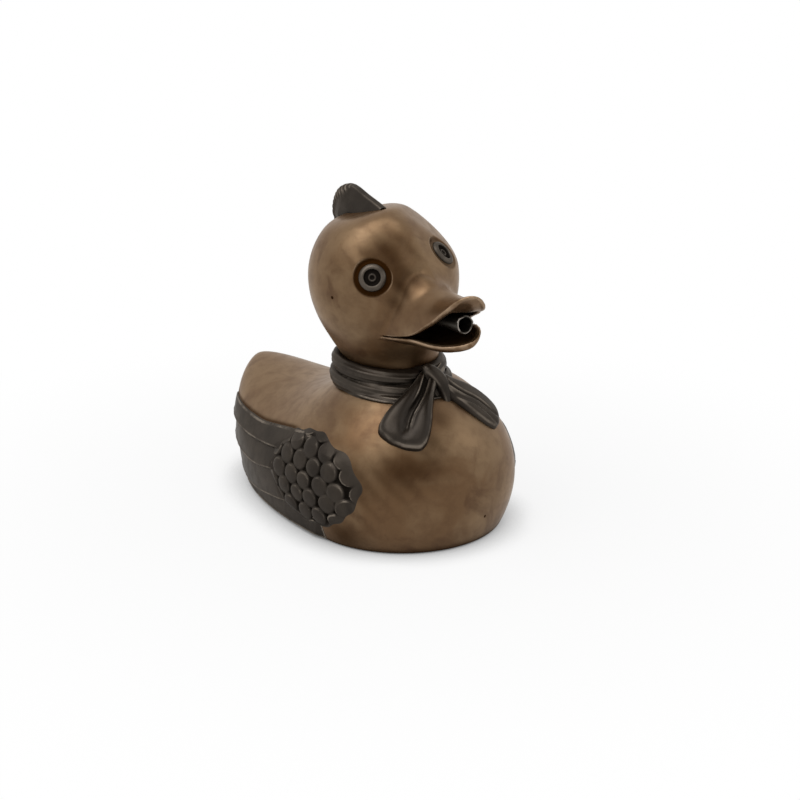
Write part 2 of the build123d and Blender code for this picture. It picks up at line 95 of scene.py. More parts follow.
LOWER_BILL = [  # forward, half width, rim, depth
    (26, 27, -30.5, 6.5),
    (34, 26.5, -30, 7),
    (52, 23.5, -28.2, 8.5),
    (70, 20, -25.9, 9),
    (86, 16.3, -24.2, 8.6),
    (94, 13.4, -23.8, 7.6),
    (99.6, 9.8, -23.9, 6.2),
    (103.2, 5.6, -24, 4.6),
    (104.8, 2.2, -24, 3.2),
    (105.2, 0.8, -24, 2.4),
]
LOWER_TWIST = 0.24  # the lower bill is higher on the duck's left
TWIST_FROM = 58.0
TWIST_TO = 92.0
MOUTH_END = 97.0
SPOUT_END = (0, -97.0, -14.4)
SPOUT_CORNER = (0, -6.0, -16.0)
TUBE_RADIUS = 6.0
TUBE_BORE = 5.0
BILL_WALL = 3.6
LIP_BEVEL = 2.8
LOWER_BILL_WALL = 2.6
RIGHT_EYE_AT = (-31.4, -38.8, 12.7)
LEFT_EYE_AT = (29.6, -38.2, 18.1)
EYE_GROOVE_MIDDLE = 10.9
EYE_GROOVE_HALF = 2.3
CREST_RIDGE = [  # back, up
    (-22, 44.5), (-9, 50), (9, 55), (25, 59.4), (39, 57), (48, 48.5), (51.5, 37), (46, 24),
]
CREST_RIDGE_HALF = 2.3
CREST_X = -2.0
HEAD_FLATS = [  # shallow round hollows in the head: direction, radius, depth, reach of the blend
    ((0.6, -0.4, 0.69), 150, 6.2, 11),
    ((0.05, 0.2, 0.98), 200, 3.2, 8),
    ((-0.2, 0.15, 0.97), 70, 2.8, 12),
    ((0.305, -0.77, 0.56), 30, 1.4, 12),
    ((-0.305, -0.77, 0.56), 30, 0.8, 14),
]

# Neckerchief
SCARF_MIDDLE = (-3.0, NECK_Y, 106.0)
SCARF_TILT = 4.5
KNOT_CENTRE = (1.0, NECK_Y - 49.0, 101.0)
KNOT_LEAN = 12.0
KNOT_TILT = 10.0
RIGHT_ROOT = (-8.0, NECK_Y - 45, 103.0)  # roots and ends of the two loose ends
RIGHT_END = (-43.5, NECK_Y - 59.5, 74.5)
LEFT_ROOT = (6.0, NECK_Y - 47, 99.5)
LEFT_END = (39.0, NECK_Y - 60, 72.5)

# Wings: distances behind the neck, and heights
PAD_MIDDLE = (0.5, 42.0)
PAD_HALF_LENGTH = 45.0
LEFT_PAD_AHEAD = 16.0  # the left pad sits further forward
PAD_HALF_HEIGHT = 30.0
SCALE_PITCH = 16.4
FEATHER_LINES = [  # heights of the feathers' edges over the distance behind the neck, from the top down
    [(15, 71), (33, 67.8), (55, 63.8), (75, 60.6), (98, 59.6), (134, 60.4), (150, 62)],
    [(15, 54), (46, 50.8), (71, 48.2), (98, 46.8), (130, 47), (150, 49)],
    [(15, 38), (48, 34.9), (71, 30.9), (97, 29.9), (122, 31), (145, 34)],
    [(-16, 18), (15, 18), (49, 13.8), (69, 10.3), (95, 7.7), (106, 8), (124, 10)],
    [(-16, 1.5), (60, 1.5), (124, 1.5)],
]
FEATHER_ENDS = [(2, 146), (2, 142), (2, 134), (-16, 120)]  # from, to, behind the neck


# Fields: negative inside, in mm

def smooth_min(a, b, reach):
    share = np.clip(0.5 + 0.5 * (b - a) / reach, 0, 1)
    return b + (a - b) * share - reach * share * (1 - share)


def smooth_max(a, b, reach):
    return -smooth_min(-a, -b, reach)


def through(stations, column):
    """A smooth curve through one column of a list of stations, as a function of its first column."""
    at = np.array([station[0] for station in stations], float)
    value = np.array([station[column] for station in stations], float)
    slope = np.gradient(value, at)

    def curve(x):
        x = np.clip(x, at[0], at[-1])
        i = np.clip(np.searchsorted(at, x) - 1, 0, len(at) - 2)
        span = at[i + 1] - at[i]
        t = (x - at[i]) / span
        start = value[i] * (1 + 2 * t) + slope[i] * span * t
        stop = value[i + 1] * (3 - 2 * t) + slope[i + 1] * span * (t - 1)
        return start * (1 - t) ** 2 + stop * t**2

    return curve


def grown(past, length):
    """A share that grows from zero to one over a length."""
    return np.clip(past / length, 0, 1)


def superellipse(share, power):
    return np.maximum(0, 1 - np.abs(share) ** power) ** (1 / power)


def body_level(x, y, z):
    """Below zero inside the body, with no unit."""
    front = (y - CHEST_Y) / CHEST_RADIUS
    dz = z - CHEST_Z
    height = np.where(dz > 0, CHEST_TOP_Z - CHEST_Z, CHEST_Z - CHEST_LOW_Z)
    ball = np.sqrt((x / CHEST_RADIUS) ** 2 + front**2 + (dz / height) ** 2) - 1
    share = np.clip((y - CHEST_Y) / (TAIL_Y - CHEST_Y), 0, TRUNK_SHARE)
    middle = CHEST_Z + (TAIL_TIP_Z - CHEST_Z) * share**MIDDLE_POWER
    width = CHEST_RADIUS * superellipse(share, WIDTH_POWER)
    shoulder = (CHEST_TOP_Z - DECK_Z) * np.exp(-((share / SHOULDER_SHARE) ** 2))
    back = DECK_Z + TAIL_LIFT * share**2 + shoulder
    top = TAIL_TIP_Z + (back - TAIL_TIP_Z) * superellipse(share, TOP_POWER)
    bottom = TAIL_TIP_Z - (TAIL_TIP_Z - CHEST_LOW_Z) * superellipse(share, BOTTOM_POWER)
    dz = z - middle
    height = np.where(dz > 0, top - middle, middle - bottom)
    trunk = np.maximum(np.sqrt((x / width) ** 2 + (dz / height) ** 2) - 1, (y - TAIL_END_Y) / CHEST_RADIUS)
    away = (x - FULL_AT[0]) ** 2 + (y - FULL_AT[1]) ** 2 + (z - FULL_AT[2]) ** 2
    return np.where(y < CHEST_Y, ball, trunk) - FULL_SHARE * np.exp(-away / FULL_REACH**2)


def body_gap(x, y, z, probe=0.05, least=1e-4):
    """The distance from the body's surface, near it."""
    here = body_level(x, y, z)
    gx = (body_level(x + probe, y, z) - here) / probe
    gy = (body_level(x, y + probe, z) - here) / probe
    gz = (body_level(x, y, z + probe) - here) / probe
    return here / np.maximum(least, np.sqrt(gx**2 + gy**2 + gz**2))


# Meshes from fields

SETTLE_ROUNDS = 3
SETTLE_MOVES = 2  # moves to the surface in each round
PROBE_SHARE = 0.15  # of the grid's step, how far a slope is measured
MOVE_SHARE = 0.6  # of the grid's step, a point's longest move
TINY = 1e-9  # keeps a divisor off zero
BULGE_PROBE = 0.3  # of the reach, how far a bulge's slope is measured
BULGE_SLOPE = 0.1  # the least slope a bulge is divided by
LEAST_STEEP = 0.05
EDGE_SPAN = 1.6  # distances over which bulges are measured, in mm
HOLLOW_SPAN = 6.0


def cells(grid, i, j, k):
    """The grid's corner i, j, k of every cell."""
    n = grid.shape
    return grid[i:n[0] - 1 + i, j:n[1] - 1 + j, k:n[2] - 1 + k]


def net(field, low, high, step):
    """Points and quads of the surface where a field changes sign, one point in each cell that it crosses."""
    axes = [np.arange(a, b + step, step) for a, b in zip(low, high)]
    value = field(*np.meshgrid(*axes, indexing="ij"))
    inside = value < 0
    corners = [(i, j, k) for i in (0, 1) for j in (0, 1) for k in (0, 1)]
    count = sum(cells(inside, *corner).astype(np.int8) for corner in corners)
    active = np.argwhere((count > 0) & (count < 8))
    number = np.full(count.shape, -1)
    number[tuple(active.T)] = np.arange(len(active))
    at = {corner: value[tuple((active + corner).T)] for corner in corners}
    total = np.zeros((len(active), 3))
    crossings = np.zeros(len(active))
    for start in corners:
        for axis in range(3):
            if start[axis]:
                continue
            stop = tuple(c + (n == axis) for n, c in enumerate(start))
            a, b = at[start], at[stop]
            cut = (a < 0) != (b < 0)
            share = np.where(cut, a / np.where(cut, a - b, 1), 0)
            place = np.tile(np.array(start, float), (len(active), 1))
            place[:, axis] += share
            total[cut] += place[cut]
            crossings += cut
    points = (active + total / crossings[:, None]) * step + np.array([a[0] for a in axes])
    quads = []
    for axis in range(3):
        u, v = (axis + 1) % 3, (axis + 2) % 3
        ahead = [slice(1, -1)] * 3
        behind = [slice(1, -1)] * 3
        ahead[axis] = slice(1, None)
        behind[axis] = slice(0, -1)
        first, second = inside[tuple(behind)], inside[tuple(ahead)]
        for flip in (False, True):
            edge = np.argwhere(second & ~first if flip else first & ~second)
            edge[:, u] += 1
            edge[:, v] += 1
            ring = []
            for du, dv in ((-1, -1), (0, -1), (0, 0), (-1, 0)):
                cell = edge.copy()
                cell[:, u] += du
                cell[:, v] += dv
                ring.append(number[tuple(cell.T)])
            quads.append(np.stack(ring[::-1] if flip else ring, axis=1))
    return points, np.concatenate(quads)


def slope_of(field, p, probe):
    sides = []
    for axis in range(3):
        step = np.zeros(3)
        step[axis] = probe
        ahead, behind = p + step, p - step
        sides.append((field(*ahead.T) - field(*behind.T)) / (2 * probe))
    return np.stack(sides, axis=1)


def settle(field, points, quads, step):
    """Evens out a net's points and puts them on the field's zero surface."""
    edges = np.concatenate([quads[:, [n, (n + 1) % 4]] for n in range(4)])
    degree = np.bincount(edges.ravel(), minlength=len(points))[:, None]
    for _ in range(SETTLE_ROUNDS):
        total = np.zeros_like(points)
        for axis in range(3):
            total[:, axis] = np.bincount(edges[:, 0], points[edges[:, 1], axis], len(points))
            total[:, axis] += np.bincount(edges[:, 1], points[edges[:, 0], axis], len(points))
        points = 0.5 * points + 0.5 * total / degree
        for _ in range(SETTLE_MOVES):
            slope = slope_of(field, points, PROBE_SHARE * step)
            steep = np.maximum(LEAST_STEEP, (slope**2).sum(axis=1))
            move = -(field(*points.T) / steep)[:, None] * slope
            length = np.linalg.norm(move, axis=1)[:, None]
            points = points + move * np.minimum(1, MOVE_SHARE * step / np.maximum(length, TINY))
    return points


def bulge(field, points, reach):
    """How far a surface bulges out, above zero on edges and below zero in hollows."""
    slope = np.linalg.norm(slope_of(field, points, BULGE_PROBE * reach), axis=1)
    around = np.zeros(len(points))
    for axis in range(3):
        for side in (-reach, reach):
            step = np.zeros(3)
            step[axis] = side
            around += field(*(points + step).T) / 6
    return (around - field(*points.T)) / reach / np.maximum(BULGE_SLOPE, slope)


def moved(points, place):
    """Points moved by a 4 x 4 matrix."""
    place = np.array(place)
    return points @ place[:3, :3].T + place[:3, 3]


def add_mesh(name, shape, look, nodes):
    """A smooth mesh in place of CAD nodes, from points in mm, quads and named numbers for each point."""
    points, quads, data = shape
    material, slot = look
    mesh = bpy.data.meshes.new(name)
    mesh.from_pydata((points * MM).tolist(), [], quads.tolist())
    mesh.polygons.foreach_set("use_smooth", np.ones(len(quads), bool))
    for key, value in data.items():
        layer = mesh.attributes.new(key, "FLOAT", "POINT")
        layer.data.foreach_set("value", np.asarray(value, np.float32))
    mesh.materials.append(material)
    mesh.update()
    piece = bpy.data.objects.new(name, mesh)
    bpy.context.scene.collection.objects.link(piece)
    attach(piece, "root")
    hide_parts(*nodes)


def shape_of(field, box, step, place=None, stain=None, calm=None, hollow_span=HOLLOW_SPAN):
    """Points, quads and data of a field's surface within a box, moved to its place if there is one."""
    points, quads = net(field, *box, step)
    points = settle(field, points, quads, step)
    steady = calm(*points.T) if calm else 1
    data = {
        "edge": steady * bulge(field, points, EDGE_SPAN),
        "hollow": steady * bulge(field, points, hollow_span),
        # painted shade at each point, and the dark of the eyes' irises
        "stain": stain(*points.T) if stain else np.zeros(len(points)),
    }
    if place is not None:
        points = moved(points, place)
    return points, quads, data


def model(name, field, box, step, look, nodes, **options):
    add_mesh(name, shape_of(field, box, step, **options), look, nodes)


HEAD_TURN = (
    Matrix.Rotation(radians(-HEAD_PITCH), 3, "X")
    @ Matrix.Rotation(radians(-HEAD_ROLL), 3, "Y")
    @ Matrix.Rotation(radians(-HEAD_YAW), 3, "Z")
)
HEAD_PLACE = Matrix.Translation(HEAD_CENTRE) @ HEAD_TURN.to_4x4()


# Materials

def shader(name):
    material = bpy.data.materials.new(name)
    material.use_nodes = True
    tree = material.node_tree
    return material, tree, tree.nodes["Principled BSDF"]


def noise(tree, place, scale, detail, rough=0.55, warp=0.0):
    texture = tree.nodes.new("ShaderNodeTexNoise")
    texture.inputs["Scale"].default_value = scale
    texture.inputs["Detail"].default_value = detail
    texture.inputs["Roughness"].default_value = rough
    texture.inputs["Distortion"].default_value = warp
    tree.links.new(place, texture.inputs["Vector"])
    return texture.outputs["Fac"]


def ramp(tree, value, low, high):
    """Value taken from low..high to 0..1, softly."""
    node = tree.nodes.new("ShaderNodeMapRange")
    node.interpolation_type = "SMOOTHSTEP"
    node.inputs["From Min"].default_value = low
    node.inputs["From Max"].default_value = high
    tree.links.new(value, node.inputs["Value"])
    return node.outputs["Result"]


def math(tree, operation, a, b):
    node = tree.nodes.new("ShaderNodeMath")
    node.operation = operation
    for socket, value in zip(node.inputs, (a, b)):
        if isinstance(value, (int, float)):
            socket.default_value = value
        else:
            tree.links.new(value, socket)
    return node.outputs["Value"]


def scaled(tree, value, factor, offset):
    """Value times a factor, plus an offset."""
    result = math(tree, "MULTIPLY_ADD", value, factor)
    result.node.inputs[2].default_value = offset
    return result


def blend(tree, share, a, b):
    """Colour a going to colour b by share."""
    node = tree.nodes.new("ShaderNodeMix")
    node.data_type = "RGBA"
    tree.links.new(share, node.inputs[0])
    for socket, colour in ((node.inputs[6], a), (node.inputs[7], b)):
        if isinstance(colour, tuple):
            socket.default_value = (*colour, 1)
        else:
            tree.links.new(colour, socket)
    return node.outputs[2]


def attribute(tree, name):
    node = tree.nodes.new("ShaderNodeAttribute")
    node.attribute_name = name
    return node.outputs["Fac"]


PIT_EDGE = (1.3, 0.7)  # of a pit's radius, where it starts and where it is full


def pits(tree, place, points, radius):
    """One within a small radius of some points, in mm, and zero away from them."""
    near = None
    for point in points:
        away = tree.nodes.new("ShaderNodeVectorMath")
        away.operation = "DISTANCE"
        away.inputs[1].default_value = Vector(point) * MM
        tree.links.new(place, away.inputs[0])
        pit = ramp(tree, away.outputs["Value"], *[share * radius * MM for share in PIT_EDGE])
        near = pit if near is None else math(tree, "MAXIMUM", near, pit)
    return near


CLOUDS = (19, 3, 0.5, 0.8, 0.36, 0.64)  # scale, detail, roughness, warp, where it starts, where it is full
DRIFTS = (31, 4, 0.55, 1.2, 0.5, 0.72)
MOTTLE = (110, 4, 0.6, 0.3, 0.35, 0.75)
RUBBED_PATCHES = (60, 3, 0.55, 0.0, 0.3, 0.6)
DRIFT_SHARE = 0.6
MOTTLE_SHARE = 0.3
HOLLOW_RANGE = (-0.03, -0.24)  # bulges of a hollow's start and of its full dark
EDGE_RANGE = (0.07, 0.26)
# painted shade from ambient occlusion, in crevices and where pieces meet: its reach, the occlusion range from
# none to full, its samples
CREVICE_SHADE_REACH = 9 * MM
CREVICE_SHADE_RANGE = (0.8, 0.25)
CREVICE_SHADE_SAMPLES = 6
MOTTLE_ROUGH = 0.12
SHADE_ROUGH = 0.25
COAT_SHARE = 0.5
COAT_ROUGH = 0.3
GRAIN_SHARE = 0.25
BUMP_STRENGTH = 0.12
BUMP_HEIGHT = 0.6 * MM
PIT_RADIUS = 1.1


def patina(name, colours, rub, smooth, metal, gloss, tint, pitted=()):
    """Patinated bronze and its slot: clouded colours, dark in the hollows and in painted shade, rubbed bright
    on the edges.
    """
    plain, warm, deep, dark, rubbed = colours
    material, tree, principled = shader(name)
    place = tree.nodes.new("ShaderNodeTexCoord").outputs["Object"]

    def cloudy(scale, detail, rough, warp, low, high):
        return ramp(tree, noise(tree, place, scale, detail, rough, warp), low, high)

    mottle = cloudy(*MOTTLE)
    colour = blend(tree, cloudy(*CLOUDS), plain, warm)
    colour = blend(tree, math(tree, "MULTIPLY", cloudy(*DRIFTS), DRIFT_SHARE), colour, deep)
    colour = blend(tree, math(tree, "MULTIPLY", mottle, MOTTLE_SHARE), colour, deep)
    # painted shade: ambient occlusion darkens the colour in crevices and where pieces meet
    occlusion = tree.nodes.new("ShaderNodeAmbientOcclusion")
    occlusion.inputs["Distance"].default_value = CREVICE_SHADE_REACH
    occlusion.samples = CREVICE_SHADE_SAMPLES
    crevice_shade = ramp(tree, occlusion.outputs["AO"], *CREVICE_SHADE_RANGE)
    hollow = ramp(tree, attribute(tree, "hollow"), *HOLLOW_RANGE)
    # the patina's dark in the hollows, painted shade from the points' data and from ambient occlusion, and
    # the casting pits
    patina_and_shade = math(tree, "MAXIMUM", hollow, attribute(tree, "stain"))
    patina_and_shade = math(tree, "MAXIMUM", patina_and_shade, crevice_shade)
    if pitted:
        patina_and_shade = math(tree, "MAXIMUM", patina_and_shade, pits(tree, place, pitted, PIT_RADIUS))
    colour = blend(tree, patina_and_shade, colour, dark)
    edge = ramp(tree, attribute(tree, "edge"), *EDGE_RANGE)
    patchy = math(tree, "MULTIPLY", edge, cloudy(*RUBBED_PATCHES))
    colour = blend(tree, math(tree, "MULTIPLY", patchy, rub), colour, rubbed)
    tree.links.new(colour, principled.inputs["Base Color"])
    rough = scaled(tree, mottle, MOTTLE_ROUGH, smooth)
    rough = math(tree, "ADD", rough, math(tree, "MULTIPLY", patina_and_shade, SHADE_ROUGH))
    tree.links.new(rough, principled.inputs["Roughness"])
    principled.inputs["Metallic"].default_value = metal
    for socket, most in (("Coat Weight", COAT_SHARE * gloss), ("Specular IOR Level", gloss)):
        tree.links.new(scaled(tree, patina_and_shade, -most, most), principled.inputs[socket])
    principled.inputs["Coat Roughness"].default_value = COAT_ROUGH
    principled.inputs["Specular Tint"].default_value = (*tint, 1)
    uneven = noise(tree, place, scale=140, detail=3, rough=0.5)
    grain = noise(tree, place, scale=900, detail=2, rough=0.5)
    bump = tree.nodes.new("ShaderNodeBump")
    bump.inputs["Strength"].default_value = BUMP_STRENGTH
    bump.inputs["Distance"].default_value = BUMP_HEIGHT
    height = math(tree, "ADD", uneven, math(tree, "MULTIPLY", grain, GRAIN_SHARE))
    tree.links.new(height, bump.inputs["Height"])
    tree.links.new(bump.outputs["Normal"], principled.inputs["Normal"])
    return material, name


CASTING_PITS = [HEAD_PLACE @ Vector((-49.3, -14.8, -1.7)), (-8.8, 113.9, 80.7), (-17.2, 117.7, 77.5),
                (10.1, -112.3, 20.2)]
BROWN_COLOURS = ((0.125, 0.066, 0.027), (0.185, 0.115, 0.058), (0.07, 0.03, 0.01), (0.024, 0.009, 0.002),
                 (0.5, 0.36, 0.24))  # plain, warm, deep, dark in the hollows and in painted shade, rubbed
DARK_COLOURS = ((0.027, 0.021, 0.016), (0.042, 0.033, 0.025), (0.016, 0.012, 0.009), (0.004, 0.003, 0.0022),
                (0.3, 0.25, 0.2))
TUBE_COLOURS = ((0.05, 0.043, 0.034), (0.07, 0.06, 0.045), (0.03, 0.025, 0.02), (0.003, 0.002, 0.002),
                (0.4, 0.36, 0.32))
BROWN = patina("bronze_brown", BROWN_COLOURS, rub=0.5, smooth=0.33, metal=0.8, gloss=0.5,
               tint=(0.85, 0.72, 0.6), pitted=CASTING_PITS)
DARK = patina("bronze_dark", DARK_COLOURS, rub=0.55, smooth=0.36, metal=0.7, gloss=0.25,
              tint=(0.5, 0.46, 0.42))
TUBE = patina("tube_brass", TUBE_COLOURS, rub=1.0, smooth=0.4, metal=0.8, gloss=0.4,
              tint=(0.8, 0.75, 0.7))


# Body

BODY_BOX = ((-80, -118, -2), (80, 140, 116))
BODY_STEP = 1.3
LEVEL_SHARE = 0.8  # mm of the body's field for each level, as a share of the chest's radius


def body_field(x, y, z):
    return smooth_max(LEVEL_SHARE * CHEST_RADIUS * body_level(x, y, z), -z, BASE_ROUND)


FEATHER_EDGES = [through(line, 1) for line in FEATHER_LINES]
BODY_SHADE_SPOTS = [  # painted shade and painted dark reflection: patches on the chest under and beside the scarf's ends, beside the wing pad and low on the side; middle, radius, strength
    ((-50, -86, 62), 14, 0.55),
    ((-40, -95, 62), 13, 0.55),
    ((-30, -101, 62), 12, 0.4),
    ((-11, -90, 89), 8, 0.35),
    ((-23, -96, 78), 7, 0.5),
    ((-66, -64, 58), 10, 0.5),
    ((-66, -70, 46), 11, 0.45),
    ((-70, -60, 10), 15, 0.75),
]
LINE_SHADE = 0.9  # painted shade: the dark line of a groove's shadow along the feathers' upper edge
LINE_OVER = 0.5
LINE_HALF = 1.3
LINE_START = 20  # behind the neck
LINE_GROWTH = 10
LINE_STOP = 150
LINE_FADE = 8
LINE_CLEAR = 15  # none of it this close to the middle plane
CALM_FROM = 4  # before the tail's end, and the length over which edges and hollows fade there
CALM_LENGTH = 10


UNEVEN_SHARE = 0.4
UNEVEN_WAVES = (0.33, 0.2, 0.29, 0.23)  # per mm of x and z, then of y and z


def spots(x, y, z, marks):
    """Painted dark patches of shade, with uneven edges that run into each other."""
    stain = np.zeros(np.shape(x))
    a, b, c, d = UNEVEN_WAVES
    uneven = 1 + UNEVEN_SHARE * np.sin(a * x + b * z) * np.sin(c * y - d * z + 1)
    for (ax, ay, az), radius, strength in marks:
        away = ((x - ax) ** 2 + (y - ay) ** 2 + (z - az) ** 2) / radius**2
        stain = stain + (1 - stain) * strength * np.exp(-away * uneven)
    return stain


# Painted shade on the body: dark patches and a dark line along the top feathers' upper edge.
def body_stain(x, y, z):
    back = y - NECK_Y
    off = (z - FEATHER_EDGES[0](back) - LINE_OVER) / LINE_HALF
    line = LINE_SHADE * np.exp(-(off**2)) * grown(back - LINE_START, LINE_GROWTH)
    line = line * grown(LINE_STOP - back, LINE_FADE)
    return np.maximum(spots(x, y, z, BODY_SHADE_SPOTS), line * (np.abs(x) > LINE_CLEAR))


def body_calm(x, y, z):
    """Nothing on the tail's blunt end, where the body's field is steep."""
    return grown(TAIL_Y - CALM_FROM - y, CALM_LENGTH)


model("duck_body", body_field, BODY_BOX, BODY_STEP, BROWN, ["body_casting"],
      stain=body_stain, calm=body_calm)


# Head with the upper bill

HEAD_BOX = ((-54, -118, -86), (54, 54, 54))
HEAD_STEP = 0.9
FAR = 50  # a field's value where a form has nothing to say
NECK_HIGH = 6  # upper end of the jaw's turned form
NECK_SLOPE = 0.85
NECK_JOIN = 7  # reaches of blends and rounded edges
BUMP_JOIN = 6
BILL_JOIN = 2.5
BILL_JOIN_MORE = 6  # the bill's root blends further on the duck's left
JOIN_LEFT_FROM = -1
JOIN_LEFT_WIDTH = 7
MOUTH_JOIN = 1.0
MOUTH_ROUND = 0.6
LIP_ROUND = 0.4
GAPE_ROUND = 0.8
GROOVE_ROUND = 0.8
BILL_END = UPPER_BILL[-1][0]
BUMP_AT = (-3, -49, -1)  # the bump on the bill's root
BUMP_RADIUS = 11.5
MOUTH_START = 34
GAPE_START = 36
RIM_PAST = 0.5  # the hollow between the rims reaches this far past them
LEAST_HALF = 0.4
RIM_SPREAD = 1.2  # of the half width, how far the rim's slope goes on
LIP_START = 58  # the lip's bevel grows from here forward and fades before the tip
LIP_GROWTH = 20
LIP_STOP = 112
LIP_FADE = 8
LIP_LEAST = 0.2
LIP_SIDE = 4
LIP_SLOPE = 0.7
TIP_START = 90  # the rim is rounder on the left of the tip
TIP_ROUND_SLOPE = 0.15
TIP_ROUND_WIDTH = 12
SEAT_ROUNDS = 8
SEAT_SPAN = 4
GROOVE_SINK = 0.4
POCKET_DEPTH = 2.4
POCKET_REACH = 20  # further in, the groove's field is left out


def ball(x, y, z, centre, radius):
    return np.sqrt((x - centre[0]) ** 2 + (y - centre[1]) ** 2 + (z - centre[2]) ** 2) - radius


def unit(vector):
    vector = np.array(vector, float)
    return vector / np.linalg.norm(vector)


UPPER_WIDTH, UPPER_RIGHT, UPPER_LEFT, UPPER_RIDGE = [through(UPPER_BILL, column) for column in (1, 2, 3, 4)]
LOWER_WIDTH, LOWER_RIM, LOWER_DEPTH = [through(LOWER_BILL, column) for column in (1, 2, 3)]


def arch(x, up, half, rise):
    """A half ellipse over a level rim, as a distance."""
    level = np.sqrt((x / half) ** 2 + (np.maximum(up, 0) / rise) ** 2) - 1
    return np.maximum(level * np.minimum(half, rise), -up)


def twist(forward):
    share = grown(forward - TWIST_FROM, TWIST_TO - TWIST_FROM)
    return share**2 * (3 - 2 * share)


def upper_rim(x, forward):
    """The height of the upper bill's rim, which rises to the duck's right at the tip."""
    right, left = UPPER_RIGHT(forward), UPPER_LEFT(forward)
    side = np.clip(x / UPPER_WIDTH(forward), -RIM_SPREAD, RIM_SPREAD)
    return (right + left) / 2 + (left - right) / 2 * side


def lower_rim(x, forward):
    return LOWER_RIM(forward) + LOWER_TWIST * x * twist(forward)


def upper_bill(x, y, z, inset, end):
    forward = -y
    half = np.maximum(LEAST_HALF, UPPER_WIDTH(forward + inset) - inset)
    rise = np.maximum(LEAST_HALF, UPPER_RIDGE(forward) - upper_rim(0, forward) - inset)
    ends = np.maximum(UPPER_BILL[0][0] - forward, forward - end)
    return np.maximum(arch(x, z - upper_rim(x, forward), half, rise), ends)


def lower_bill(x, y, z, inset):
    forward = -y
    half = np.maximum(LEAST_HALF, LOWER_WIDTH(forward + inset) - inset)
    rise = np.maximum(LEAST_HALF, LOWER_DEPTH(forward) - inset)
    ends = np.maximum(LOWER_BILL[0][0] - forward, forward - LOWER_BILL[-1][0] + inset)
    return np.maximum(arch(x, lower_rim(x, forward) - z, half, rise), ends)


NECK_STATIONS = [  # height, radius
    (-90, NECK_RADIUS), (NECK_TOP, NECK_RADIUS), (-52, 34.5), (-40, 40.2), (-27, 44.6), (-12, 46), (8, 43),
]
NECK_PROFILE = through(NECK_STATIONS, 1)


def neck(x, y, z):
    """The jaw narrowing to the neck, a turned form."""
    side = NECK_SLOPE * (np.sqrt(x**2 + y**2) - NECK_PROFILE(z))
    return np.maximum(np.maximum(side, z - NECK_HIGH), NECK_END - z)


def skull(x, y, z):
    """The head without its bills and eyes."""
    form = smooth_min(np.sqrt(x**2 + y**2 + z**2) - HEAD_RADIUS, neck(x, y, z), NECK_JOIN)
    for toward, radius, depth, reach in HEAD_FLATS:
        middle = unit(toward) * (HEAD_RADIUS + radius - depth)
        form = smooth_max(form, -ball(x, y, z, middle, radius), reach)
    return form


def seat(at):
    """The skull's surface point toward an eye, and the direction square to the surface there."""
    point = unit(at) * HEAD_RADIUS
    for _ in range(SEAT_ROUNDS):
        point = point - unit(at) * skull(*point)
    slope = [skull(*(point + step)) - skull(*(point - step)) for step in np.eye(3) * SEAT_SPAN]
    return point, unit(slope)


RIGHT_SEAT = seat(RIGHT_EYE_AT)
LEFT_SEAT = seat(LEFT_EYE_AT)


def eye_groove(x, y, z, point, out):
    """The round groove about an eye, with the pocket that the eye sits in."""
    dx, dy, dz = x - point[0], y - point[1], z - point[2]
    height = dx * out[0] + dy * out[1] + dz * out[2]
    away = np.sqrt(np.maximum(0, dx**2 + dy**2 + dz**2 - height**2))
    ring = np.sqrt((away - EYE_GROOVE_MIDDLE) ** 2 + (height + GROOVE_SINK) ** 2) - EYE_GROOVE_HALF
    pocket = np.maximum(away - EYE_GROOVE_MIDDLE, -POCKET_DEPTH - height)
    return np.where(height > -POCKET_REACH, np.minimum(ring, pocket), FAR)


def mouth_field(x, y, z, over, under):
    """The hollow of both bills, with the space between their rims."""
    forward = -y
    between = np.maximum(np.abs(x) - (UPPER_WIDTH(forward) - BILL_WALL), over - RIM_PAST)
    between = np.maximum(between, np.maximum(under - RIM_PAST, MOUTH_START - forward))
    mouth = np.minimum(upper_bill(x, y, z, BILL_WALL, MOUTH_END), lower_bill(x, y, z, LOWER_BILL_WALL))
    return smooth_min(mouth, between, MOUTH_JOIN)


def lip_bevel(x, forward):
    """Height of the bevel on the upper bill's right lip."""
    growth = grown(forward - LIP_START, LIP_GROWTH)
    fade = np.clip((LIP_STOP - forward) / LIP_FADE, LIP_LEAST, 1)
    return LIP_BEVEL * growth * fade * np.clip(0.5 - x / LIP_SIDE, 0, 1)


def head_field(x, y, z):
    forward = -y
    bill = smooth_min(upper_bill(x, y, z, 0, BILL_END), ball(x, y, z, BUMP_AT, BUMP_RADIUS), BUMP_JOIN)
    left = grown(x - JOIN_LEFT_FROM, JOIN_LEFT_WIDTH)
    form = smooth_min(skull(x, y, z), bill, BILL_JOIN + BILL_JOIN_MORE * left)
    over, under = z - upper_rim(x, forward), lower_rim(x, forward) - z
    form = smooth_max(form, -mouth_field(x, y, z, over, under), MOUTH_ROUND)
    lip = LIP_SLOPE * (lip_bevel(x, forward) - over + bill)
    form = smooth_max(form, np.where(forward > LIP_START, lip, -FAR), LIP_ROUND)
    gape = np.maximum(np.maximum(over, under), GAPE_START - forward)
    tip_round = TIP_ROUND_SLOPE * np.clip(x, 0, TIP_ROUND_WIDTH) * (forward > TIP_START)
    form = smooth_max(form, -gape, GAPE_ROUND + tip_round)
    for point, out in (RIGHT_SEAT, LEFT_SEAT):
        form = smooth_max(form, -eye_groove(x, y, z, point, out), GROOVE_ROUND)
    return form


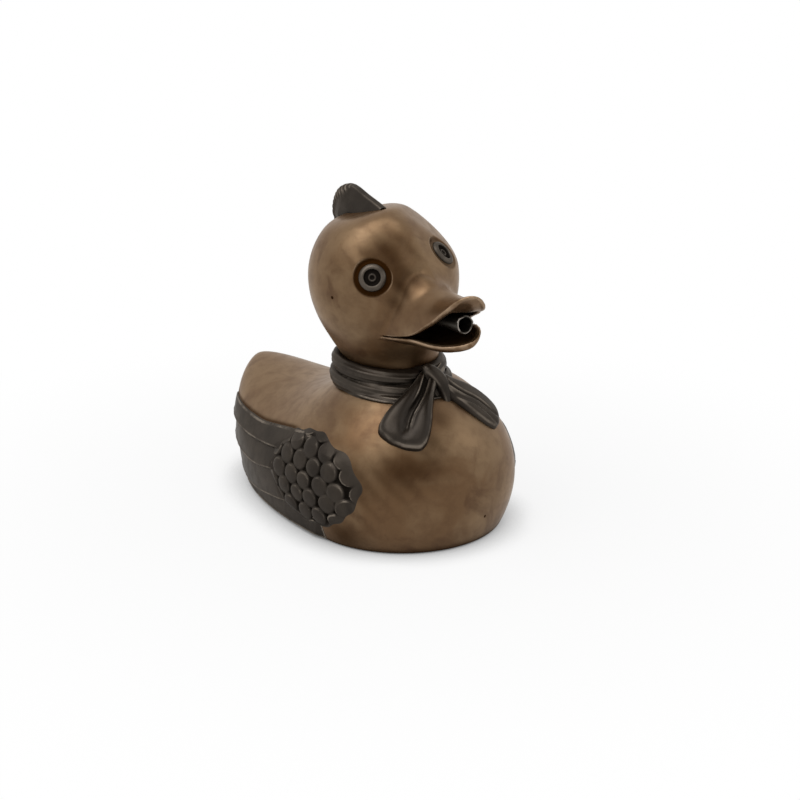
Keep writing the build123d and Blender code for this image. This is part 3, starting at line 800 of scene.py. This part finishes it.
HEAD_SHADE_SPOTS = [  # painted shade: dark patches above the right eye and on the brow, along the crease at the bill's root and under the chin; middle, radius, strength
    ((-16, -37, 29), 12, 0.6),
    ((-38, -22, 24), 13, 0.22),
    ((-30, -32, 25), 12, 0.3),
    ((-24, -36, 26), 10, 0.3),
    ((-15, -41, 22), 12, 0.65),
    ((-16, -46, 12), 11, 0.65),
    ((-10.2, -50.3, 3.7), 6, 0.8),
    ((-5, -50.7, 7.3), 5, 0.8),
    ((-20, -47, -5.6), 6, 0.5),
    ((0, -35, -48), 20, 0.55),
]
GROOVE_SHADES = ((RIGHT_SEAT, 1.0), (LEFT_SEAT, 0.6))
GROOVE_SHADE_RADIUS = EYE_GROOVE_MIDDLE + EYE_GROOVE_HALF + 0.5
GROOVE_SHADE_FADE = 1.2
INSIDE_MARGIN = 0.6
INSIDE_PAST = 0.4
UPPER_INSIDE = (82, 20, 0.3)  # shade in the bill: where it starts, the length over which it grows, its most
LOWER_INSIDE = (72, 20, 0.25)


def throat_shade(y, start, length, most):
    """Shade that grows toward the throat."""
    return np.clip((start + y) / length, 0, most)


# Painted shade on the head: dark patches, the eye grooves and the inside of the bill.
def head_stain(x, y, z):
    stain = spots(x, y, z, HEAD_SHADE_SPOTS)
    for (at, _), dark in GROOVE_SHADES:
        past = -ball(x, y, z, at, GROOVE_SHADE_RADIUS)
        stain = np.maximum(stain, dark * grown(past, GROOVE_SHADE_FADE))
    upper = upper_bill(x, y, z, BILL_WALL - INSIDE_MARGIN, MOUTH_END + INSIDE_MARGIN)
    inside = np.clip(INSIDE_PAST - np.minimum(upper, lower_bill(x, y, z, 0)), 0, 1)
    return np.maximum(stain, inside * throat_shade(y, *UPPER_INSIDE))


model("duck_head", head_field, HEAD_BOX, HEAD_STEP, BROWN, ["head_casting"],
      place=HEAD_PLACE, stain=head_stain)


# Lower bill

LOWER_BILL_BOX = ((-32, -112, -44), (32, -24, -16))
LOWER_BILL_STEP = 0.7
LOWER_BILL_SPAN = 2.0  # its hollows are narrower than the others
SPOON_LIFT = 0.4  # the spoon's inside is this much higher than its outside
SPOON_ROUND = 0.8
SPOON_MARGIN = 0.5
SPOON_PAST = 0.6


def lower_bill_field(x, y, z):
    return smooth_max(lower_bill(x, y, z, 0), -lower_bill(x, y, z - SPOON_LIFT, LOWER_BILL_WALL), SPOON_ROUND)


# Painted shade inside the lower bill, growing toward the throat.
def lower_bill_stain(x, y, z):
    inside = np.clip(SPOON_PAST - lower_bill(x, y, z - SPOON_LIFT, LOWER_BILL_WALL - SPOON_MARGIN), 0, 1)
    return inside * throat_shade(y, *LOWER_INSIDE)


model("duck_lower_bill", lower_bill_field, LOWER_BILL_BOX, LOWER_BILL_STEP, BROWN, ["lower_bill"],
      place=HEAD_PLACE, stain=lower_bill_stain, hollow_span=LOWER_BILL_SPAN)


# Rough end of the spout tube

RIM_TURNS = 60
RIM_DEPTH = 2.5
RIM_PROFILE = [  # radius, distance past the tube's end
    (TUBE_BORE + 0.2, -RIM_DEPTH), (TUBE_BORE + 0.2, 0.1), (TUBE_BORE + 0.4, 0.4),
    (TUBE_RADIUS - 0.3, 0.4), (TUBE_RADIUS - 0.05, 0.1), (TUBE_RADIUS - 0.05, -RIM_DEPTH),
]
RIM_UNEVEN = [(0.18, 3, 1), (0.14, 5, 2.2)]  # height, count in a turn, phase
RIM_RAGGED = [(0.4, 4, 0), (0.25, 7, 1)]
RIM_BRIGHT = 0.3


def waves(marks, angle):
    return sum(height * sin(count * angle + phase) for height, count, phase in marks)


def tube_rim():
    rings, quads = [], []
    for radius, past in RIM_PROFILE:
        for n in range(RIM_TURNS):
            angle = 2 * pi * n / RIM_TURNS
            share = max(0.0, 1 + past / RIM_DEPTH)
            wide = radius + share * waves(RIM_UNEVEN, angle)
            rings.append((wide * cos(angle), wide * sin(angle), past + share * waves(RIM_RAGGED, angle)))
    rows = len(RIM_PROFILE)
    for row in range(rows):
        for n in range(RIM_TURNS):
            after = (n + 1) % RIM_TURNS
            a, b = row * RIM_TURNS, (row + 1) % rows * RIM_TURNS
            quads.append((a + n, a + after, b + after, b + n))
    axis = Vector(SPOUT_END) - Vector(SPOUT_CORNER)
    place = HEAD_PLACE @ Matrix.Translation(SPOUT_END) @ axis.to_track_quat("Z", "Y").to_matrix().to_4x4()
    bright = np.array([RIM_BRIGHT if past > 0 else 0 for _, past in RIM_PROFILE]).repeat(RIM_TURNS)
    add_mesh("duck_tube_rim", (moved(np.array(rings), place), np.array(quads), {"edge": bright}), TUBE, [])


tube_rim()


# Eyes

EYE_PROFILE = [  # radius, height over the seat, before the eye is sunk
    (0.0, -0.9), (1.4, -0.8), (1.8, -0.3), (2.4, -0.25), (2.9, -0.8), (5.0, -0.9), (5.4, -0.3), (5.7, 0.5),
    (6.2, 0.85), (6.9, 0.8), (7.8, 0.4), (8.6, -0.2), (9.1, -1.0), (9.1, -3.0), (0.0, -3.0),
]
EYE_TURNS = 72
PUPIL_RADIUS = 1.6
PUPIL_RIM = (1.7, 2.5)
IRIS = (2.6, 5.5)
EYE_SIDE_RADIUS = 8.9
RING_BRIGHT = 0.15
PUPIL_BRIGHT = 0.1
# the iris and pupil are dark; the eye's side wall, past EYE_SIDE_RADIUS down in the groove, is painted dark
# as shade
IRIS_DARK_AND_SIDE_SHADE = 0.88
RIGHT_EYE_SUNK = 0.5
LEFT_EYE_SUNK = 0.9


def eye(name, point, out, sunk, node):
    """A turned disc on the skull's surface point, square to the surface and sunk a little."""
    points, quads = [], []
    for radius, height in EYE_PROFILE:
        for n in range(EYE_TURNS):
            angle = 2 * pi * n / EYE_TURNS
            points.append((radius * cos(angle), radius * sin(angle), height))
    for row in range(len(EYE_PROFILE) - 1):
        for n in range(EYE_TURNS):
            a, b = row * EYE_TURNS + n, row * EYE_TURNS + (n + 1) % EYE_TURNS
            quads.append((b, a, a + EYE_TURNS, b + EYE_TURNS))
    points = np.array(points)
    radius = np.linalg.norm(points[:, :2], axis=1)
    pupil_rim = (radius > PUPIL_RIM[0]) & (radius < PUPIL_RIM[1])
    iris = (radius > IRIS[0]) & (radius < IRIS[1])
    data = {
        "edge": np.where(radius > IRIS[1], RING_BRIGHT, np.where(pupil_rim, PUPIL_BRIGHT, 0)),
        "stain": np.where(iris | (radius < PUPIL_RADIUS) | (radius > EYE_SIDE_RADIUS), IRIS_DARK_AND_SIDE_SHADE, 0),
    }
    turn = Vector(out).to_track_quat("Z", "Y").to_matrix().to_4x4()
    place = HEAD_PLACE @ Matrix.Translation(point - sunk * out) @ turn
    add_mesh(name, (moved(points, place), np.array(quads), data), DARK, [node])


eye("duck_right_eye", *RIGHT_SEAT, RIGHT_EYE_SUNK, "right_eye")
eye("duck_left_eye", *LEFT_SEAT, LEFT_EYE_SUNK, "left_eye")


# Crest

CREST_BOX = ((-14, -12, 18), (12, 58, 64))
CREST_STEP = 0.5
CREST_FOOT = [(20.0, 20.0), (0.0, 30.0)]  # inside the head
CREST_WEDGE = 0.42  # the half width grows by this for each mm down from the ridge
CREST_WEDGE_DEPTH = 14
CREST_SLOPE = 0.9
CREST_ROUND = 1.2
REAR_START = 24  # the rear is wider and rounder, with notches
REAR_LENGTH = 8
REAR_HALF_MORE = 2.7
REAR_WEDGE_LESS = 0.2
REAR_ROUND_MORE = 4
NOTCH_DEPTH = 0.5
NOTCH_FROM = 9  # below the ridge, and the length over which the notches grow
NOTCH_GROWTH = 5
NOTCH_RATE = 1.3
CREST_STEPS = np.linspace(0, len(CREST_RIDGE) - 1, 25)
CREST_BACK = through([(n, back) for n, (back, _) in enumerate(CREST_RIDGE)], 1)(CREST_STEPS)
CREST_UP = through([(n, up) for n, (_, up) in enumerate(CREST_RIDGE)], 1)(CREST_STEPS)
CREST_RING = list(zip(CREST_BACK, CREST_UP)) + CREST_FOOT


def crest_outline(y, z):
    """Signed distance to the crest's side outline."""
    inside = np.zeros(np.shape(y), bool)
    best = np.full(np.shape(y), np.inf)
    for (ay, az), (by, bz) in zip(CREST_RING, CREST_RING[1:] + CREST_RING[:1]):
        dy, dz = by - ay, bz - az
        t = np.clip(((y - ay) * dy + (z - az) * dz) / (dy**2 + dz**2), 0, 1)
        best = np.minimum(best, (y - ay - t * dy) ** 2 + (z - az - t * dz) ** 2)
        inside ^= ((az > z) != (bz > z)) & (y < (by - ay) * (z - az) / (bz - az + TINY) + ay)
    return np.where(inside, -1, 1) * np.sqrt(best)


def crest_field(x, y, z):
    outline = crest_outline(y, z)
    rear = grown(y - REAR_START, REAR_LENGTH)
    wedge = (CREST_WEDGE - REAR_WEDGE_LESS * rear) * np.clip(-outline, 0, CREST_WEDGE_DEPTH)
    half = CREST_RIDGE_HALF + REAR_HALF_MORE * rear + wedge
    side = CREST_SLOPE * (np.abs(x - CREST_X) - half)
    form = smooth_max(outline, side, CREST_ROUND + REAR_ROUND_MORE * rear)
    depth = NOTCH_DEPTH * rear * grown(outline + NOTCH_FROM, NOTCH_GROWTH)
    return form + depth * np.sin((z - y) * NOTCH_RATE)


model("duck_crest", crest_field, CREST_BOX, CREST_STEP, DARK, ["crest"], place=HEAD_PLACE)


# Neckerchief

SCARF_BOX = ((-46, -58, -20), (46, 46, 18))
SCARF_STEP = 0.9
SCARF_PLACE = Matrix.Translation(SCARF_MIDDLE) @ Matrix.Rotation(radians(SCARF_TILT), 4, "X")
ROLLS = [  # at the back: height, middle radius; at the front: height, middle radius; half height, half depth
    (7.6, 32.5, 8.0, 35.5, 6.0, 6.6),
    (-2.4, 33.0, -0.6, 41.5, 6.4, 7.0),
    (-6.5, 32.0, -3.5, 49.5, 3.2, 6.0),
]
ROLL_WAVES = [(0.6, 2, 1.3), (0.3, 5, 1)]  # height, count in a turn, phase for each roll
ROLL_JOIN = 0.8
FRONT_POWER = 1.2
THREAD_HEIGHT = 0.2  # fine lines along the rolls
THREAD_RATE = 2.1
THREAD_SLANT = 0.1
THREAD_SWAY = 1.6
SWAY_COUNT = 1.5
SWAY_PHASE = 0.6


def scarf_field(x, y, z):
    angle = np.arctan2(x, -y)
    radius = np.sqrt(x**2 + y**2)
    front = np.maximum(0, np.cos(angle)) ** FRONT_POWER
    form = np.full(np.shape(x), float(FAR))
    for n, (high, middle, front_high, front_middle, tall, deep) in enumerate(ROLLS):
        level = high + (front_high - high) * front
        for height, count, phase in ROLL_WAVES:
            level = level + height * np.sin(count * angle + phase * n)
        reach = middle + (front_middle - middle) * front
        across = np.sqrt(((radius - reach) / deep) ** 2 + ((z - level) / tall) ** 2) - 1
        form = smooth_min(form, across * min(tall, deep), ROLL_JOIN)
    sway = THREAD_SWAY * np.sin(angle * SWAY_COUNT + SWAY_PHASE)
    return form + THREAD_HEIGHT * np.sin((z - THREAD_SLANT * radius + sway) * THREAD_RATE)


model("duck_scarf", scarf_field, SCARF_BOX, SCARF_STEP, DARK, ["scarf_band"], place=SCARF_PLACE)


# Knot

KNOT_BOX = ((-16, -12, -24), (16, 12, 24))
KNOT_STEP = 0.7
KNOT_HALF = (8.4, 9.0, 22.0)
KNOT_BEND = 0.01
KNOT_SHIFT = 1.5
KNOT_SLOPE = 8.0
CREASE_AT = 5.0
CREASE_LEAN = 0.1
CREASE_HALF = 1.2
CREASE_DEPTH = 1.6
CREASE_START = 1  # in front of the knot's middle, and the length over which the crease grows
CREASE_GROWTH = 4
KNOT_PLACE = (
    Matrix.Translation(KNOT_CENTRE)
    @ Matrix.Rotation(radians(-KNOT_TILT), 4, "X")
    @ Matrix.Rotation(radians(-KNOT_LEAN), 4, "Y")
)


def knot_field(x, y, z):
    bend = x + KNOT_BEND * z**2 - KNOT_SHIFT
    half_x, half_y, half_z = KNOT_HALF
    form = np.sqrt((bend / half_x) ** 2 + (y / half_y) ** 2 + (z / half_z) ** 2) - 1
    off = (bend + CREASE_AT + CREASE_LEAN * z) / CREASE_HALF
    crease = np.exp(-(off**2)) * grown(-y - CREASE_START, CREASE_GROWTH)
    return form * KNOT_SLOPE + CREASE_DEPTH * crease


model("duck_knot", knot_field, KNOT_BOX, KNOT_STEP, DARK, ["scarf_knot"], place=KNOT_PLACE)


# Loose ends of the neckerchief

RIGHT_TAIL_BOX = ((-64, -116, 56), (14, -50, 118))
LEFT_TAIL_BOX = ((-8, -116, 56), (64, -50, 118))
TAIL_STEP = 0.8
RIGHT_LEAF = [  # share of the length, half width
    (-0.2, 7), (0.0, 8), (0.25, 11), (0.5, 15), (0.7, 17), (0.85, 16.8), (0.95, 14), (1.01, 9),
]
LEFT_LEAF = [(-0.2, 6), (0.0, 8), (0.3, 12.5), (0.6, 14.5), (0.85, 13.5), (1.0, 10.5), (1.06, 7)]
RIGHT_CREASES = [  # start, slant, height, width, end
    (0.5, 0.0, -3.6, 3.6, 1.0),
    (2.0, 1.0, 1.6, 1.0, 0.85),
    (-2.5, 1.0, 1.0, 0.9, 0.6),
]
LEFT_CREASES = [(3.0, -1.5, -2.5, 1.3, 1.0), (8.0, 0.0, -1.0, 1.2, 1.2)]
LEAF_PROBE = 0.5
LEAF_SLOPE = 0.9
LEAF_TIP_JOIN = 6
LEAF_THICK = 0.5
LEAF_ROUND = 1.2
LEAF_SUNK = 1.5
LEAF_UNDER_ROUND = 1.0
PUFF_WIDTH = 5
DIP_FROM = 4
DIP_WIDTH = 7
ROOT_LIFT = 5.0
ROOT_START = 0.1
ROOT_FADE = 3.5
FOLD_SWAY = 0.7
FOLD_RATE = 9
FOLD_FADE = 0.35


def tail_axes(root, end):
    """Root, direction, crosswise direction and length of a loose end that lies on the body."""
    root, end = np.array(root, float), np.array(end, float)
    length = np.linalg.norm(end - root)
    forward = (end - root) / length
    out = unit(slope_of(body_level, ((root + end) / 2)[None], LEAF_PROBE)[0])
    across = unit(np.cross(out, forward))
    return root, forward, across, length


def tail_field(root, end, side, leaf, rim, hollow, creases):
    """A loose end of the scarf on the chest: a leaf with a puffed rim, hollow in the middle, with creases."""
    root, forward, across, length = tail_axes(root, end)
    half = through(leaf, 1)

    def field(x, y, z):
        dx, dy, dz = x - root[0], y - root[1], z - root[2]
        u = (dx * forward[0] + dy * forward[1] + dz * forward[2]) / length
        v = side * (dx * across[0] + dy * across[1] + dz * across[2])
        over = body_gap(x, y, z)
        tip = (leaf[-1][0] - u) * length
        inside = LEAF_SLOPE * smooth_min(half(u) - np.abs(v), tip, LEAF_TIP_JOIN)
        puff = rim * np.sqrt(np.clip(1 - (1 - grown(inside, PUFF_WIDTH)) ** 2, 0, 1))
        dip = hollow * grown(inside - DIP_FROM, DIP_WIDTH) ** 2
        root_lift = ROOT_LIFT * np.exp(-np.clip(u + ROOT_START, 0, 2) * ROOT_FADE)
        folds = 0
        for start, slant, tall, thin, stop in creases:
            off = (v - start - slant * u - FOLD_SWAY * np.sin(FOLD_RATE * u)) / thin
            folds = folds + tall * np.exp(-(off**2)) * grown(stop - u, FOLD_FADE)
        form = smooth_max(over - (LEAF_THICK + puff + root_lift - dip + folds), -inside, LEAF_ROUND)
        return smooth_max(form, -(over + LEAF_SUNK), LEAF_UNDER_ROUND)

    return field


RIGHT_TAIL = tail_field(RIGHT_ROOT, RIGHT_END, side=1, leaf=RIGHT_LEAF, rim=6.0, hollow=1.2,
                        creases=RIGHT_CREASES)
LEFT_TAIL = tail_field(LEFT_ROOT, LEFT_END, side=-1, leaf=LEFT_LEAF, rim=4.0, hollow=0.0,
                       creases=LEFT_CREASES)
model("duck_scarf_tail_right", RIGHT_TAIL, RIGHT_TAIL_BOX, TAIL_STEP, DARK, ["scarf_tail_right"])
model("duck_scarf_tail_left", LEFT_TAIL, LEFT_TAIL_BOX, TAIL_STEP, DARK, ["scarf_tail_left"])


# Wings

SCALE_ROW = 11.2
SCALE_HALF_LENGTH = 8.0
SCALE_HALF_HEIGHT = 7.3
SCALE_RISE = 2.5
SCALE_ROWS = range(-3, 4)
SCALE_COLUMNS = range(-4, 5)
SCALE_SHIFT = 1.1  # random shift, size and turn of each scale
SCALE_SIZES = (0.94, 1.06)
SCALE_TURN = 0.3
SCALE_LEAN = (0.05, 0.1)  # rise of a scale's face to the back and upward
SCALE_PAST = 0.1  # scales this far past the pad's edge are still made, and cut by it
PILLOW_POWER = 3
PAD_EDGE = 1.08
PAD_SLOPE = 12
PAD_FLOOR = 0.35
PAD_WAVES = [(0.03, 0.16, 0.2), (0.02, 0.33, -0.28)]  # waves of the pad's edge: height, rate back, rate up
# painted shade in the gaps between scales: where the pillows are lower than this, up to its most
GAP_DEPTH = 1.5
GAP_SHADE = 0.9
GAP_MARGIN = 0.02
GAP_FADE = 0.12
WING_SUNK = 2.0
WING_STEP = 0.8
RIGHT_PAD_BOX = ((-82, NECK_Y - 60, 0.4), (-34, NECK_Y + 52, 86))
LEFT_PAD_BOX = ((34, NECK_Y - 72, 0.4), (82, NECK_Y + 44, 86))
FEATHER_BOX = ((-82, NECK_Y - 18, 0.4), (-14, NECK_Y + 150, 76))
FEATHER_NONE = -3.0  # a height below the body's surface, for no feather
FEATHER_THICK = 1.6
FEATHER_TILT = 0.9
FEATHER_SLOPE = 2.5
FEATHER_ROOT_SLOPE = 0.1
FEATHER_RIM = 0.6
FEATHER_RIM_AT = 1.0
FEATHER_RIM_HALF = 0.9
UNDER_PAD = 0.2  # the feathers stay this low under the pad and rise at its edge
UNDER_PAD_FROM = 0.8
UNDER_PAD_SLOPE = 8


def pad_reach(back, up):
    """Zero in the middle of the pad and one on its edge."""
    along = (back - PAD_MIDDLE[0]) / PAD_HALF_LENGTH
    return np.sqrt(along**2 + ((up - PAD_MIDDLE[1]) / PAD_HALF_HEIGHT) ** 2)


def pad_scales():
    """Middles, sizes and turns of the scales in their staggered rows."""
    rng = np.random.default_rng(SEED)
    scales = []
    for row in SCALE_ROWS:
        for column in SCALE_COLUMNS:
            stagger = 0.5 * (row % 2)
            back = PAD_MIDDLE[0] + (column + stagger) * SCALE_PITCH + rng.uniform(-SCALE_SHIFT, SCALE_SHIFT)
            up = PAD_MIDDLE[1] + row * SCALE_ROW + rng.uniform(-SCALE_SHIFT, SCALE_SHIFT)
            size = rng.uniform(*SCALE_SIZES)
            turn = rng.uniform(-SCALE_TURN, SCALE_TURN)
            if pad_reach(back, up) < PAD_EDGE + SCALE_PAST:
                scales.append((back, up, size, turn))
    return scales


SCALES = pad_scales()


def scale_height(back, up):
    """Height of the pillows over the body, none in the gaps between them."""
    height = np.zeros(np.shape(back))
    for at, level, size, turn in SCALES:
        along = ((back - at) * cos(turn) + (up - level) * sin(turn)) / size
        across = ((up - level) * cos(turn) - (back - at) * sin(turn)) / size
        reach = np.sqrt((along / SCALE_HALF_LENGTH) ** 2 + (across / SCALE_HALF_HEIGHT) ** 2)
        face = SCALE_RISE + SCALE_LEAN[0] * along + SCALE_LEAN[1] * across
        height = np.maximum(height, face * np.sqrt(np.clip(1 - reach**PILLOW_POWER, 0, 1)))
    return height


def coverts_field(side, ahead):
    """The pad of scales on one side of the body, moved ahead by some mm."""

    def field(x, y, z):
        over = body_gap(x, y, z)
        back = y - NECK_Y + ahead
        wave = sum(high * np.sin(along * back + upward * z) for high, along, upward in PAD_WAVES)
        slope = PAD_SLOPE * (PAD_EDGE + wave - pad_reach(back, z))
        height = np.minimum(PAD_FLOOR + scale_height(back, z), slope)
        form = np.maximum(over - height, -(over + WING_SUNK))
        return np.where(side * x > 0, form, FAR)

    return field


def coverts_stain(ahead):
    """Painted shade in the gaps between the scales of a pad."""

    def stain(x, y, z):
        back = y - NECK_Y + ahead
        gaps = np.clip(GAP_DEPTH - scale_height(back, z), 0, GAP_SHADE)
        return gaps * grown(PAD_EDGE - GAP_MARGIN - pad_reach(back, z), GAP_FADE)

    return stain


def feathers_field(x, y, z):
    """The long feathers on the duck's right, each a thin panel with a rim."""
    over = body_gap(x, y, z)
    back = y - NECK_Y
    height = np.full(np.shape(x), FEATHER_NONE)
    under_pad = UNDER_PAD + UNDER_PAD_SLOPE * np.maximum(0, pad_reach(back, z) - UNDER_PAD_FROM)
    for n, (root, tip) in enumerate(FEATHER_ENDS):
        high, low = FEATHER_EDGES[n](back), FEATHER_EDGES[n + 1](back)
        half = (high - low) / 2
        across = (high + low - 2 * z) / (2 * half)
        nose = np.sqrt(np.maximum(0, (back - tip + half) / half) ** 2 + across**2)
        edge = np.where(back > tip - half, (1 - nose) * half, (1 - np.abs(across)) * half)
        edge = np.minimum(edge, FEATHER_ROOT_SLOPE * (back - root))
        off = ((1 - across) * half - FEATHER_RIM_AT) / FEATHER_RIM_HALF
        thick = FEATHER_THICK + FEATHER_TILT * across + FEATHER_RIM * np.exp(-(off**2))
        panel = np.where(edge > 0, np.minimum(FEATHER_SLOPE * edge, thick), FEATHER_NONE)
        height = np.maximum(height, np.minimum(panel, under_pad))
    form = np.maximum(over - height, -(over + WING_SUNK))
    return np.where(x < 0, form, FAR)


for side, word, ahead, box in ((-1, "right", 0, RIGHT_PAD_BOX), (1, "left", LEFT_PAD_AHEAD, LEFT_PAD_BOX)):
    model(f"duck_{word}_coverts", coverts_field(side, ahead), box, WING_STEP, DARK, [f"{word}_wing_coverts"],
          stain=coverts_stain(ahead))
points, quads, data = shape_of(feathers_field, FEATHER_BOX, WING_STEP)
add_mesh("duck_right_feathers", (points, quads, data), DARK, ["right_wing_feathers"])
add_mesh("duck_left_feathers", (points * (-1, 1, 1), quads[:, ::-1], data), DARK, ["left_wing_feathers"])


# Hidden metal and rubber

PLAIN_DARKER = 0.6
PLAIN_ROUGH = 0.15


def plain_look(name, colour, smooth, metal):
    """Lightly mottled metal or rubber."""
    material, tree, principled = shader(name)
    place = tree.nodes.new("ShaderNodeTexCoord").outputs["Object"]
    mottle = ramp(tree, noise(tree, place, scale=160, detail=4, rough=0.6), 0.3, 0.7)
    darker = tuple(PLAIN_DARKER * c for c in colour)
    tree.links.new(blend(tree, mottle, colour, darker), principled.inputs["Base Color"])
    tree.links.new(scaled(tree, mottle, PLAIN_ROUGH, smooth), principled.inputs["Roughness"])
    principled.inputs["Metallic"].default_value = metal
    return material


PLAIN = {
    "tube_brass": TUBE[0],
    "fitting_brass": plain_look("fitting_brass", (0.42, 0.3, 0.14), smooth=0.3, metal=1.0),
    "screw_steel": plain_look("screw_steel", (0.45, 0.45, 0.46), smooth=0.3, metal=1.0),
    "gasket_rubber": plain_look("gasket_rubber", (0.03, 0.03, 0.03), smooth=0.6, metal=0.0),
}
for part in frame["record"]["subparts"]:
    if part["material_slot"] in PLAIN:
        node = frame["nodes"][part["node"]]
        node.data.materials.clear()
        node.data.materials.append(PLAIN[part["material_slot"]])


# Stage, light and camera

WHITE = (1, 1, 1, 1)
AMBIENT = 0.32
FLOOR_HALF = 6.0
FLOOR_Z = -0.0003
FLOOR_TONES = ((0.96, 0.96, 0.96), (0.95, 0.95, 0.95))
FLOOR_ROUGH = 0.9
FLOOR_WHITE = 0.85  # share of plain white at the duck, and the distances from which it grows to all of it
WHITE_FROM = 0.1
WHITE_TO = 0.45
CONTACT_REACH = 0.036  # the white is shaded this close to the duck
CONTACT_SAMPLES = 8
CONTACT_GAIN = 1.25
CONTACT_LEAST = 0.03


def backdrop_white(tree):
    """One where a ray comes from the camera, a mirror or glass."""
    path = tree.nodes.new("ShaderNodeLightPath")
    seen = math(tree, "MAXIMUM", path.outputs["Is Camera Ray"], path.outputs["Is Glossy Ray"])
    return math(tree, "MAXIMUM", seen, path.outputs["Is Transmission Ray"])


def studio_world():
    world = bpy.data.worlds.new("studio")
    bpy.context.scene.world = world
    world.use_nodes = True
    tree = world.node_tree
    background = tree.nodes["Background"]
    background.inputs["Color"].default_value = WHITE
    level = scaled(tree, backdrop_white(tree), 1 - AMBIENT, AMBIENT)
    tree.links.new(level, background.inputs["Strength"])


def floor_look():
    """A pale floor that goes over to plain white away from the duck."""
    material, tree, principled = shader("floor")
    place = tree.nodes.new("ShaderNodeTexCoord").outputs["Object"]
    speck = noise(tree, place, scale=3, detail=2)
    tree.links.new(blend(tree, speck, *FLOOR_TONES), principled.inputs["Base Color"])
    principled.inputs["Roughness"].default_value = FLOOR_ROUGH
    principled.inputs["Specular IOR Level"].default_value = 0.0
    away = tree.nodes.new("ShaderNodeVectorMath")
    away.operation = "LENGTH"
    tree.links.new(place, away.inputs[0])
    far = ramp(tree, away.outputs["Value"], WHITE_FROM, WHITE_TO)
    far.node.inputs["To Min"].default_value = FLOOR_WHITE
    beside = tree.nodes.new("ShaderNodeAmbientOcclusion")
    beside.inputs["Distance"].default_value = CONTACT_REACH
    beside.samples = CONTACT_SAMPLES
    shaded = scaled(tree, beside.outputs["AO"], CONTACT_GAIN, CONTACT_LEAST)
    shaded.node.use_clamp = True
    glow = tree.nodes.new("ShaderNodeEmission")
    glow.inputs["Color"].default_value = WHITE
    tree.links.new(shaded, glow.inputs["Strength"])
    mix = tree.nodes.new("ShaderNodeMixShader")
    tree.links.new(math(tree, "MULTIPLY", far, backdrop_white(tree)), mix.inputs[0])
    tree.links.new(principled.outputs["BSDF"], mix.inputs[1])
    tree.links.new(glow.outputs["Emission"], mix.inputs[2])
    tree.links.new(mix.outputs["Shader"], tree.nodes["Material Output"].inputs["Surface"])
    return material


def studio_floor():
    mesh = bpy.data.meshes.new("floor")
    corners = [(x * FLOOR_HALF, y * FLOOR_HALF, FLOOR_Z) for x, y in ((-1, -1), (1, -1), (1, 1), (-1, 1))]
    mesh.from_pydata(corners, [], [(0, 1, 2, 3)])
    mesh.materials.append(floor_look())
    floor = bpy.data.objects.new("floor", mesh)
    bpy.context.scene.collection.objects.link(floor)


def soft_box(name, place, aim, size, power):
    lamp = bpy.data.lights.new(name, "AREA")
    lamp.shape = "RECTANGLE"
    lamp.size, lamp.size_y = size
    lamp.energy = power
    lamp_object = bpy.data.objects.new(name, lamp)
    bpy.context.scene.collection.objects.link(lamp_object)
    lamp_object.location = place
    lamp_object.rotation_euler = (Vector(aim) - Vector(place)).to_track_quat("-Z", "Y").to_euler()


LAMP_AIM = (0, 0, 0.1)
CAMERA_TARGET = Vector((2.63, -31.70, 84.3)) * MM
CAMERA_TURN = radians(-40)
CAMERA_RISE = radians(18.5)
CAMERA_DISTANCE = 1150 * MM
SENSOR = 36.0
LENS = 73.93


def photo_camera():
    data = bpy.data.cameras.new("camera")
    data.sensor_width = SENSOR
    data.lens = LENS
    camera = bpy.data.objects.new("camera", data)
    bpy.context.scene.collection.objects.link(camera)
    flat = cos(CAMERA_RISE)
    back = Vector((sin(CAMERA_TURN) * flat, -cos(CAMERA_TURN) * flat, sin(CAMERA_RISE)))
    camera.location = CAMERA_TARGET + back * CAMERA_DISTANCE
    camera.rotation_euler = (-back).to_track_quat("-Z", "Y").to_euler()
    bpy.context.scene.camera = camera


studio_world()
studio_floor()
soft_box("key", place=(-0.82, -0.02, 1.3), aim=LAMP_AIM, size=(1.3, 1.3), power=10)
soft_box("top", place=(-0.25, -0.2, 1.5), aim=LAMP_AIM, size=(1.2, 0.9), power=4.6)
soft_box("fill", place=(0.9, -0.9, 0.7), aim=LAMP_AIM, size=(0.7, 0.7), power=0.9)
photo_camera()
bpy.context.scene.view_settings.view_transform = "Standard"
